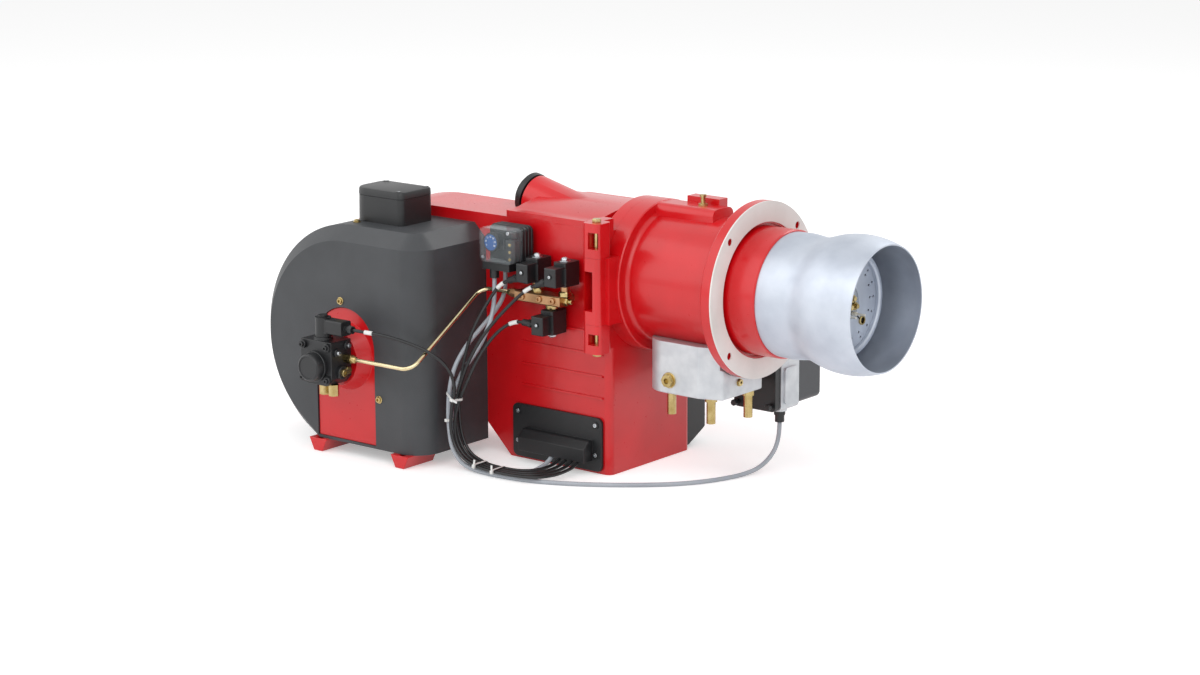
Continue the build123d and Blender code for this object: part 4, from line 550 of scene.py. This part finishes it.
# Brass fittings of the valve block: stem nuts, side plugs, an end nut and the pipe's sleeves
stem_nut = bmesh.new()
turned(stem_nut, [(0, 0), (13.0, 0, 6), (13.0, 6.5, 6), (11.6, 7.6), (10.4, 9.6), (0, 9.6)])
repeated("stem_nuts", stem_nut, at_valves(VALVE_Y, -29, -49, UP, DOWN), turned_brass)
repeated("valve_side_plugs", socket_screw(6.4, 3.4, 3.0),
         [((x, -175, VALVE_Z), FRONT) for x in (-434, -392, -360)], red_brass)
end_nut = bmesh.new()
turned(end_nut, [(0, 0), (9.0, 0, 6), (9.0, 8, 6), (7.8, 9), (5.2, 9), (5.2, 16), (4.4, 17),
                 (0, 17)])
repeated("valve_end_fitting", end_nut, [((RIGHT_VALVE_X, VALVE_Y, VALVE_Z), ALONG)], turned_brass)
pipe_sleeve = bmesh.new()
turned(pipe_sleeve, [(4.05, 0), (7.4, 0), (7.0, 6), (5.2, 9), (4.05, 9)], hollow=True)
repeated("pipe_sleeves", pipe_sleeve,
         [((-697, -362, -164), ALONG), ((-472, VALVE_Y, VALVE_Z), BACK)], turned_brass)

# Oil pump: stepped round cover, bosses with their screws, and the plugs in its side
pump_face = bmesh.new()
turned(pump_face, [(0, 0), (29.5, 0), (29.5, 6), (28.6, 7), (26.6, 7), (26.6, 20), (25.2, 23),
                   (23.4, 24.4), (21.2, 24.4), (20.6, 23.2), (0, 23.2)],
       (PUMP_X, PUMP_FACE_Y, PUMP_COVER_Z), FRONT, sides=40)
finished("pump_round_cover", pump_face, pump_paint,
         stands_for=["pump_cover"])
pump_boss = bmesh.new()
turned(pump_boss, [(0, -3), (8.4, -3), (8.4, 5), (7.6, 6), (0, 6)])
pump_corners = [(PUMP_X + dx, PUMP_Z + dz) for dx in (-31, 31) for dz in (-31, 33)]
repeated("pump_bosses", pump_boss, [((x, PUMP_FACE_Y, z), FRONT) for x, z in pump_corners],
         pump_paint)
repeated("pump_boss_screws", socket_screw(5.0, 3.6, 2.6),
         [((x, PUMP_FACE_Y - 6, z), FRONT) for x, z in pump_corners], pump_paint)
side_bosses = bmesh.new()
turned(side_bosses, [(0, -2), (13.0, -2), (13.0, 6), (12.0, 7), (0, 7)], (-717, -374, -190), ALONG)
turned(side_bosses, [(0, -2), (8.0, -2), (8.0, 4), (7.0, 5), (0, 5)], (-717, -386, -150), ALONG)
turned(side_bosses, [(0, -2), (9.0, -2), (9.0, 3), (8.0, 4), (0, 4)], (-717, -357, -140), ALONG)
finished("pump_side_bosses", side_bosses, pump_paint)
repeated("pump_side_plug", socket_screw(7.4, 5.0, 3.8), [((-710, -374, -190), ALONG)],
         turned_brass)
repeated("pump_air_screws", socket_screw(4.4, 5.0, 2.2),
         [((-712, -386, -150), ALONG), ((-713, -357, -140), ALONG)], zinc_plate)


# Terminal box: base with one wide round corner, and its lid

def terminal_outline(inset):
    """Outline of the terminal box, drawn in on each side from its widest."""
    return rectangle(TERMINAL_MIDDLE, [side - 2 * inset for side in TERMINAL_SIZE],
                     TERMINAL_CORNERS)


terminal = bmesh.new()
plate(terminal, [(terminal_outline(0), 78), (terminal_outline(0.5), 128.4)])
finished("terminal_base", terminal, moulded_black,
         stands_for=["terminal_box"])
lid = bmesh.new()
lid_levels = ((2, 128.2), (2, 129.4), (0, 129.6), (0.5, 140.2), (1.5, 142.2), (3.5, TERMINAL_TOP_Z))
plate(lid, [(terminal_outline(inset), level) for inset, level in lid_levels])
finished("terminal_lid", lid, moulded_black)
lid_corners = ((-680, -243), (-680, -168), (-782, -168))
lid_pocket = bmesh.new()
turned(lid_pocket, [(2.6, 0), (6.4, 0), (6.2, 0.7), (3.0, 0.7)], hollow=True)
repeated("terminal_screw_rings", lid_pocket,
         [((x, y, TERMINAL_TOP_Z - 0.1), UP) for x, y in lid_corners], moulded_black)
repeated("terminal_screws", socket_screw(2.5, 1.4, 1.3),
         [((x, y, TERMINAL_TOP_Z - 0.4), UP) for x, y in lid_corners], zinc_plate)

# Pressure switch: ribs round its body, the parts under the clear cover, and the dial
ribs = bmesh.new()
rib_foot = rectangle(SWITCH_MIDDLE, (83, 81), (10, 10, 10, 10))
rib_crest = rectangle(SWITCH_MIDDLE, (85, 83), (10, 10, 10, 10))
for back_y in (-137.5, -147.0, -156.5):
    plate(ribs, [(rib_foot, back_y), (rib_crest, back_y - 0.8), (rib_crest, back_y - 4.2),
                 (rib_foot, back_y - 5)], standing=True)
finished("switch_ribs", ribs, moulded_black)
inside = bmesh.new()
block(inside, (-455, -175, 44), (24, 16, 44), 1.2)
block(inside, (-478, -169, 74), (58, 6, 12), 1.0)
block(inside, (-494, -170, 60), (34, 8, 34), 3.0)
finished("switch_inner_parts", inside, moulded_black)
repeated("switch_terminal_screws", socket_screw(2.8, 2.2, 1.4),
         [((-455, -183, z), FRONT) for z in (30, 44, 58)], turned_brass)
repeated("switch_cover_screws", socket_screw(3.4, 2.0, 1.8),
         [((x, SWITCH_COVER_Y, z), FRONT) for x, z in ((-447, 83), (-509, 32))], zinc_plate)
dial = bmesh.new()
turned(dial, [(0, 21), (4.9, 21), (4.9, 25), (15.4, 25), (15.4, 32.4), (14.8, 33), (0, 33)],
       DIAL_PLACE, FRONT, sides=48)
finished("dial_disc", dial, dial_plastic, body="dial",
         stands_for=["switch_dial"])
dial_ring = bmesh.new()
turned(dial_ring, [(15.4, 25.5), (16.8, 25.5), (16.8, 32.6), (15.4, 32.6)], DIAL_PLACE, FRONT,
       sides=48, hollow=True)
finished("dial_ring", dial_ring, moulded_black, body="dial")


def round_dial(radius, angle, y):
    """A place round the dial's axis, at an angle from the flame's side."""
    return (DIAL_PLACE[0] + radius * math.cos(angle), y, DIAL_PLACE[2] + radius * math.sin(angle))


tooth = bmesh.new()
block(tooth, (0, 0, 0), (1.7, 5.6, 2.4), 0.3)
tooth_angles = [2 * math.pi * k / 24 for k in range(24)]
repeated("dial_teeth", tooth,
         [(round_dial(17.0, a, -190.2), (math.cos(a), 0, math.sin(a))) for a in tooth_angles],
         moulded_black, body="dial", most_turn=0.0)


def dial_numbers(values, radius, height_mm):
    """Plain raised numbers round the dial's face, as one mesh."""
    first_deg, sweep_deg = 210, 240
    all_numbers = bmesh.new()
    for place, value in enumerate(values):
        words = bpy.data.curves.new("number", "FONT")
        words.body = str(value)
        words.size = height_mm / 1000
        words.align_x = "CENTER"
        words.align_y = "CENTER"
        words.extrude = 0.00015
        holder = bpy.data.objects.new("number", words)
        bpy.context.scene.collection.objects.link(holder)
        bpy.context.view_layer.update()
        mesh = bpy.data.meshes.new_from_object(holder)
        angle = math.radians(first_deg - place * sweep_deg / (len(values) - 1))
        where = Vector(round_dial(radius, angle, DIAL_FACE_Y)) / 1000
        mesh.transform(Matrix.Translation(where) @ Matrix.Rotation(math.pi / 2, 4, "X"))
        all_numbers.from_mesh(mesh)
        bpy.data.objects.remove(holder)
        bpy.data.meshes.remove(mesh)
    return all_numbers


finished("dial_numbers", dial_numbers((4, 8, 12, 16, 20, 24, 28), 11.0, 5.0), white_nylon,
         body="dial")

# Regulator block: brass hexagon plug with a socket on its washer, and the small plug by the flange
block_plug = bmesh.new()
turned(block_plug, [(0, 0), (15.0, 0), (15.0, 1.4), (14.4, 2), (13.0, 2, 6), (13.0, 8.4, 6),
                    (11.2, 9.6), (6.0, 9.6, 6), (5.6, 3, 6), (0, 3)],
       (-142, -100, BLOCK_MIDDLE_Z), FRONT, sides=36)
turned(block_plug, [(0, 0), (7.4, 0), (7.4, 1), (6.4, 1), (6.4, 4.2), (5.8, 4.8), (3.0, 4.8, 6),
                    (2.8, 1.5, 6), (0, 1.5)],
       (-30, -34, BLOCK_MIDDLE_Z), ALONG)
finished("regulator_socket_plugs", block_plug, turned_brass,
         body="head", stands_for=["regulator_plugs"])
knob = bmesh.new()
turned(knob, [(0, -1), (4.4, -1), (4.4, 6), (6.4, 6, 8), (6.4, 13, 8), (5.4, 14), (0, 14)])
repeated("servo_knobs", knob, [((-114, 76, -243), FRONT), ((-36, 76, -241), FRONT)],
         moulded_black, body="head")

# Diffuser: brass ring of the flame sensor's port and the thin ignition lead
port = bmesh.new()
turned(port, [(5.6, -1), (8.6, -1), (8.6, 2.6), (7.8, 3.4), (6.2, 3.4), (5.6, 2.4)],
       (187, 42.4, -38.1), ALONG, hollow=True)
finished("sensor_port_ring", port, turned_brass, body="head")
lead = bmesh.new()
block(lead, (188.4, 30, -30), (1.6, 1.8, 26), 0.5, Matrix.Rotation(math.radians(52), 3, "X"))
finished("ignition_lead", lead, moulded_black, body="head")

# Rear side: a strip and ribs on the box's back, with the screws along its edges
strip = bmesh.new()
block(strip, (-418.5, BOX_BACK_Y + 1.4, -130), (287, 3.2, 9), 0.8)
for rib_z in (-200, -242, -284):
    block(strip, (-440, BOX_BACK_Y + 1.2, rib_z), (150, 2.8, 4), 0.9)
finished("box_back_ribs", strip, red_enamel)
cut_corners = ((-320, -344), (-552, -344))
box_screws = [((x, BOX_BACK_Y, z), REAR) for x in (-552, -500, -440, -380, -320)
              for z in (84, -344) if (x, z) not in cut_corners]
repeated("box_back_screws", socket_screw(4.6, 3.4, 2.4), box_screws, zinc_plate)

# Rear side: screws over half of the scroll's back, and the seam of its plate
scroll_x, scroll_y, scroll_z = SCROLL_BACK_PLACE
scroll_angles = [math.radians(180 + 22.5 * step) for step in range(9)]
scroll_screws = [((scroll_x + SCROLL_SCREW_R * math.cos(a), scroll_y,
                   scroll_z + SCROLL_SCREW_R * math.sin(a)), REAR) for a in scroll_angles]
repeated("scroll_back_screws", socket_screw(4.6, 3.4, 2.4), scroll_screws, zinc_plate)
seam = bmesh.new()
turned(seam, [(178, -1), (181, -1), (181, 1.6), (178, 1.6)], SCROLL_BACK_PLACE, REAR, sides=96,
       hollow=True)
finished("scroll_back_seam", seam, red_enamel)

# Rear side: ribs and screws of the damper drive's cover, and ribs on the servo's cover
vent = bmesh.new()
block(vent, (0, 0, 0), (52, 3, 3.4), 0.8)
repeated("drive_cover_ribs", vent, [((-312, DRIVE_BACK_Y, z), REAR) for z in range(-290, -190, 12)],
         moulded_black, most_turn=0.0)
repeated("drive_cover_screws", socket_screw(3.4, 2.6, 1.8),
         [((x, DRIVE_BACK_Y, z), REAR) for x in (-343, -281) for z in (-182, -318)], zinc_plate)
servo_rib = bmesh.new()
block(servo_rib, (0, 0, 0), (3, 40, 2.4), 0.7)
repeated("servo_cover_ribs", servo_rib, [((x, 190, -142), UP) for x in range(-110, -35, 12)],
         moulded_grey, body="head", most_turn=0.0)


# Cables

def cable_line(points):
    """The route's smooth line, a NURBS spline through millimetre points."""
    curve = bpy.data.curves.new("route", "CURVE")
    curve.dimensions = "3D"
    curve.resolution_u = 12
    spline = curve.splines.new("NURBS")
    spline.points.add(len(points) - 1)
    for control, point in zip(spline.points, points):
        control.co = [c / 1000 for c in point] + [1.0]
    spline.order_u = 3
    spline.use_endpoint_u = True
    return curve


def read_line(points):
    """The points that the smooth line passes, read from the spline itself."""
    holder = bpy.data.objects.new("route_holder", cable_line(points))
    bpy.context.scene.collection.objects.link(holder)
    mesh = bpy.data.meshes.new_from_object(holder)
    line = [v.co.copy() for v in mesh.vertices]
    bpy.data.objects.remove(holder)
    bpy.data.meshes.remove(mesh)
    return line


BLACK_MM = 6.5
GREY_MM = 8.5

routes = {
    "valve_cable_1": [
        (-452.2, -190.5, -8.3), (-473.5, -190.5, -16.1), (-489, -206, -48), (-502, -224, -84),
        (-514, -238, -126), (-525, -243, -180), (-534, -244.5, -238), (-532, -245, -296),
        (-512, -245.5, -340), (-468, -244.5, -356), (-424, -244.5, -357.5), (-386, -238, -357.5),
        (-366, -212, -358), (-363, -184, -357), (-363, -158, -353), (-363, -134.5, -336),
    ],
    "valve_cable_2": [
        (-384.2, -190.5, -8.3), (-404, -190.5, -15.5), (-430, -207, -44), (-456, -226, -78),
        (-480, -242, -116), (-502, -251, -158), (-520, -254.5, -204),
        (-534, -255, -252), (-531, -255.5, -304), (-508, -254.5, -344), (-462, -254, -357),
        (-410, -254, -358), (-368, -246, -358), (-350, -216, -358.5), (-348, -186, -357.5),
        (-348, -158, -353), (-348, -134.5, -336),
    ],
    "valve_cable_3": [
        (-418, -190.5, -84), (-440, -190.5, -84), (-468, -210, -106), (-488, -238, -150),
        (-505, -256, -204), (-526, -263, -256), (-530, -264.5, -306), (-508, -264, -344),
        (-462, -263.5, -357), (-408, -263.5, -358), (-356, -256, -358), (-336, -222, -358.5),
        (-333, -188, -357.5), (-333, -158, -353), (-333, -134.5, -336),
    ],
    "pump_cable": [
        (-681.5, -378, -102), (-656, -378, -102), (-622, -362, -106), (-582, -344, -116),
        (-540, -324, -132), (-510, -300, -162), (-508, -282, -206), (-528, -274, -254),
        (-531, -273.5, -302), (-508, -273, -343), (-462, -273, -357), (-400, -273.5, -358),
        (-340, -264, -358), (-320, -226, -358.5), (-318, -190, -357.5), (-318, -158, -353),
        (-318, -134.5, -336),
    ],
    "switch_cable": [
        (-495, -182, -9), (-495, -182, -34), (-486, -196, -64), (-486, -212, -102),
        (-505, -224, -146), (-534, -238, -190), (-546, -252, -238), (-545, -254, -292),
        (-530, -254.5, -338), (-494, -254, -364), (-444, -254, -367), (-402, -242, -367),
        (-386, -210, -366), (-384, -182, -362), (-384, -158, -355), (-384, -135, -338),
    ],
    "servo_cable": [
        (-44, 116, -279), (-44, 116, -306), (-47, 103, -338), (-53, 70, -360), (-62, 30, -367),
        (-76, -22, -367.3), (-98, -70, -367), (-132, -114, -367.4), (-178, -156, -367),
        (-234, -197, -367.3), (-292, -231, -367), (-350, -254, -367.4), (-410, -264, -367),
        (-462, -264.5, -367.3), (-508, -263.5, -362), (-537, -263, -336), (-545, -263, -290),
        (-545.5, -262, -236), (-541, -254, -184), (-530, -234, -144), (-517, -206, -112),
        (-508, -174, -84), (-504, -146, -56), (-504, -138, -26), (-504, -141, 8.4),
    ],
}
lines = {name: read_line(points) for name, points in routes.items()}
sheath_mm = {name: GREY_MM if name in ("switch_cable", "servo_cable") else BLACK_MM
             for name in routes}


def tube_mesh(name, line, radius, sides=16):
    """A closed tube along a line, with rings square to it."""
    shape = bmesh.new()
    rings = []
    normal = None
    for index, point in enumerate(line):
        before = line[max(index - 1, 0)]
        after = line[min(index + 1, len(line) - 1)]
        along = (after - before).normalized()
        if normal is None:
            normal = along.orthogonal().normalized()
        normal = (normal - along * normal.dot(along)).normalized()
        side = along.cross(normal)
        rings.append([shape.verts.new(point + radius * (math.cos(a) * normal + math.sin(a) * side))
                      for a in (2 * math.pi * k / sides for k in range(sides))])
    for ring, following in zip(rings, rings[1:]):
        for k in range(sides):
            ahead = (k + 1) % sides
            shape.faces.new((ring[k], ring[ahead], following[ahead], following[k]))
    shape.faces.new(list(reversed(rings[0])))
    shape.faces.new(rings[-1])
    bmesh.ops.recalc_face_normals(shape, faces=shape.faces)
    mesh = bpy.data.meshes.new(name)
    shape.to_mesh(mesh)
    shape.free()
    for polygon in mesh.polygons:
        polygon.use_smooth = len(polygon.vertices) == 4
    return mesh


SLEEVE_WALL_MM = 0.9
SLEEVE_LENGTH_MM = 20
TIE_HEAD_MM = (7.0, 5.0, 6.0)
TIE_TAIL_MM = (12.0, 1.3, 4.2)


def marker_sleeve(name, start_mm):
    """A white marker sleeve pushed on a cable, some way along its line."""
    stretch = []
    travelled = 0.0
    line = lines[name]
    for before, after in zip(line, line[1:]):
        step = (after - before).length
        if start_mm / 1000 <= travelled <= (start_mm + SLEEVE_LENGTH_MM) / 1000:
            stretch.append(before)
        travelled += step
    mesh = tube_mesh(name + "_marker", stretch, (sheath_mm[name] / 2 + SLEEVE_WALL_MM) / 1000)
    mesh.materials.append(white_nylon)
    return settle(bpy.data.objects.new(name + "_marker", mesh), "housing_body")


def around(points):
    """The corners of flat points that a band pulled round them would touch."""
    ordered = sorted(points)
    chains = []
    for run in (ordered, ordered[::-1]):
        chain = []
        for point in run:
            while len(chain) > 1 and ((chain[-1][0] - chain[-2][0]) * (point[1] - chain[-2][1])
                                      <= (chain[-1][1] - chain[-2][1]) * (point[0] - chain[-2][0])):
                chain.pop()
            chain.append(point)
        chains += chain[:-1]
    return chains


def cable_tie(name, place, held):
    """A nylon tie pulled round the cables that pass a place, with its head and cut tail."""
    passing = []
    for cable_name in held:
        line = lines[cable_name]
        index = min(range(1, len(line) - 1), key=lambda i: (line[i] - Vector(place) / 1000).length)
        passing.append((line[index], (line[index + 1] - line[index - 1]).normalized(),
                        sheath_mm[cable_name] / 2000))
    along = sum((way if way.z < 0 else -way for _, way, _ in passing), Vector()).normalized()
    middle = sum((spot for spot, _, _ in passing), Vector()) / len(passing)
    side = along.cross(Vector((0, 1, 0))).normalized()
    out = along.cross(side)
    flat = []
    for spot, _, radius in passing:
        for k in range(16):
            a = 2 * math.pi * k / 16
            offset = spot - middle + (radius + 0.0004) * (math.cos(a) * side + math.sin(a) * out)
            flat.append((offset.dot(side), offset.dot(out)))
    rim = around(flat)
    shape = bmesh.new()
    half_width, thickness = 0.0022, 0.0011
    loops = []
    for height, grow in ((-half_width, 0), (-half_width, thickness), (half_width, thickness),
                         (half_width, 0)):
        loop = []
        for u, v in rim:
            reach = 1 + grow / max(math.hypot(u, v), 1e-4)
            spot = middle + u * reach * side + v * reach * out + height * along
            loop.append(shape.verts.new(spot))
        loops.append(loop)
    for low, high in zip(loops, loops[1:] + loops[:1]):
        for k in range(len(rim)):
            ahead = (k + 1) % len(rim)
            shape.faces.new((low[k], low[ahead], high[ahead], high[k]))
    axes = Matrix((side, out, along)).transposed()
    u, v = max(rim, key=lambda corner: -(middle + corner[0] * side + corner[1] * out).y)
    head = (middle + 1.12 * u * side + 1.12 * v * out) * 1000
    block(shape, head, TIE_HEAD_MM, 0.8, axes)
    block(shape, head + 7.5 * side, TIE_TAIL_MM, 0.4, axes)
    mesh = mesh_of(shape, name)
    mesh.materials.append(white_nylon)
    return settle(bpy.data.objects.new(name, mesh), "housing_body")


BLACKS = ["valve_cable_1", "valve_cable_2", "valve_cable_3", "pump_cable"]
on_cable = {
    "valve_cable_1": [marker_sleeve("valve_cable_1", 12),
                      cable_tie("upper_tie", (-534, -255, -228), list(routes)),
                      cable_tie("lower_tie", (-470, -258, -356), BLACKS),
                      cable_tie("floor_tie", (-424, -258, -358), BLACKS)],
    "valve_cable_2": [marker_sleeve("valve_cable_2", 12)],
    "valve_cable_3": [marker_sleeve("valve_cable_3", 12)],
    "pump_cable": [marker_sleeve("pump_cable", 26)],
    "switch_cable": [cable_tie("grey_tie", (-545, -258, -278), ["switch_cable", "servo_cable"])],
}


def cable(name):
    """A free cable as a round tube on its smooth line."""
    grey = sheath_mm[name] == GREY_MM
    curve = cable_line(routes[name])
    curve.bevel_depth = sheath_mm[name] / 2000
    curve.bevel_resolution = 5
    curve.use_fill_caps = True
    curve.materials.append(grey_sheath if grey else black_sheath)
    piece = bpy.data.objects.new(name + "_sheath", curve)
    settle(piece, "housing_body", [name])


for name in routes:
    if name != "servo_cable":
        cable(name)


def servo_cable():
    """The servo's cable between the drum and the housing, one fixed tube on its line that does not
    bend as the drum swings.
    """
    line = lines["servo_cable"]
    mesh = tube_mesh("servo_cable_sheath", line, GREY_MM / 2000)
    mesh.materials.append(grey_sheath)
    piece = bpy.data.objects.new("servo_cable_sheath", mesh)
    bpy.context.scene.collection.objects.link(piece)
    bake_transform(piece)
    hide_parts("servo_cable")


servo_cable()


# Studio and camera

PHOTO_LENS_MM = 89.8
CAMERA_PLACE = Vector((3.1287, -4.3748, 1.1440))
CAMERA_YAW = 38.78
CAMERA_PITCH = 12.92
CAMERA_ROLL = -0.22
FLOOR_Z = cad_box[0][2]
FLOOR_LIFT = 0.35
FLOOR_REACH = 14.0
WORLD_FILL = 0.62
WHITE = (1, 1, 1, 1)


def photo_camera():
    """The camera at the photograph's viewing angle."""
    yaw, pitch, roll = (math.radians(a) for a in (CAMERA_YAW, CAMERA_PITCH, CAMERA_ROLL))
    forward = Vector((-math.sin(yaw) * math.cos(pitch), math.cos(yaw) * math.cos(pitch),
                      -math.sin(pitch)))
    level = forward.cross(Vector((0, 0, 1))).normalized()
    above = level.cross(forward)
    right = math.cos(roll) * level + math.sin(roll) * above
    up = -math.sin(roll) * level + math.cos(roll) * above
    data = bpy.data.cameras.new("photo_camera")
    data.lens = PHOTO_LENS_MM
    data.sensor_width = 36
    data.clip_end = 100
    camera = bpy.data.objects.new("photo_camera", data)
    camera.matrix_world = Matrix((right, up, -forward)).transposed().to_4x4()
    camera.location = CAMERA_PLACE
    bpy.context.scene.collection.objects.link(camera)
    bpy.context.scene.camera = camera


def softbox(name, place, target, size, watts):
    """A rectangular area lamp that looks at its target."""
    data = bpy.data.lights.new(name, "AREA")
    data.shape = "RECTANGLE"
    data.size = size[0]
    data.size_y = size[1]
    data.energy = watts
    lamp = bpy.data.objects.new(name, data)
    lamp.location = place
    lamp.rotation_euler = (Vector(target) - Vector(place)).to_track_quat("-Z", "Y").to_euler()
    bpy.context.scene.collection.objects.link(lamp)


def seen_by_eye(tree):
    """One where a ray comes from the camera, a glossy surface or a clear cover, else nought."""
    ray = add_node(tree, "ShaderNodeLightPath").outputs
    either = add_node(tree, "ShaderNodeMath", {"operation": "MAXIMUM"},
                      {0: ray["Is Camera Ray"], 1: ray["Is Glossy Ray"]})
    any_of_three = add_node(tree, "ShaderNodeMath", {"operation": "MAXIMUM"},
                            {0: either.outputs["Value"], 1: ray["Is Transmission Ray"]})
    return any_of_three.outputs["Value"]


def floor_paint():
    """Matt white studio floor: bright enough to meet the white world, and it keeps the shadow."""
    material = bpy.data.materials.new("matt_white_floor")
    material.use_nodes = True
    tree = material.node_tree
    tree.nodes.clear()
    matt = add_node(material, "ShaderNodeBsdfDiffuse", {"Color": linear("#f2f2f2")})
    lift = add_node(material, "ShaderNodeEmission", {"Color": WHITE, "Strength": FLOOR_LIFT})
    both = add_node(material, "ShaderNodeAddShader", links={0: matt.outputs["BSDF"],
                                                            1: lift.outputs["Emission"]})
    mix = add_node(material, "ShaderNodeMixShader", links={"Fac": seen_by_eye(tree),
                                                           1: matt.outputs["BSDF"],
                                                           2: both.outputs["Shader"]})
    add_node(material, "ShaderNodeOutputMaterial", links={"Surface": mix.outputs["Shader"]})
    return material


def studio():
    """Pale floor, white world and soft lamps."""
    mesh = bpy.data.meshes.new("studio_floor")
    corners = [(u * FLOOR_REACH, v * FLOOR_REACH, FLOOR_Z)
               for u, v in ((-1, -1), (1, -1), (1, 1), (-1, 1))]
    mesh.from_pydata(corners, [], [(0, 1, 2, 3)])
    mesh.materials.append(floor_paint())
    floor = bpy.data.objects.new("studio_floor", mesh)
    bpy.context.scene.collection.objects.link(floor)
    world = bpy.data.worlds.new("studio_world")
    bpy.context.scene.world = world
    world.use_nodes = True
    tree = world.node_tree
    tree.nodes.clear()
    fill = add_node(tree, "ShaderNodeBackground", {"Color": WHITE, "Strength": WORLD_FILL})
    seen = add_node(tree, "ShaderNodeBackground", {"Color": WHITE, "Strength": 1.0})
    mix = add_node(tree, "ShaderNodeMixShader", links={"Fac": seen_by_eye(tree),
                                                       1: fill.outputs["Background"],
                                                       2: seen.outputs["Background"]})
    add_node(tree, "ShaderNodeOutputWorld", links={"Surface": mix.outputs["Shader"]})
    softbox("key_light", (1.6, -3.6, 3.4), (-0.4, 0, -0.1), (6.2, 4.8), 138)
    softbox("side_light", (-3.6, -2.4, 2.2), (-0.6, 0, -0.1), (5.6, 4.4), 68)
    softbox("back_light", (0.5, 3.4, 3.0), (-0.4, 0, 0), (2.5, 1.5), 50)


photo_camera()
studio()

scene = bpy.context.scene
scene.view_settings.view_transform = "Standard"

bpy.context.view_layer.update()
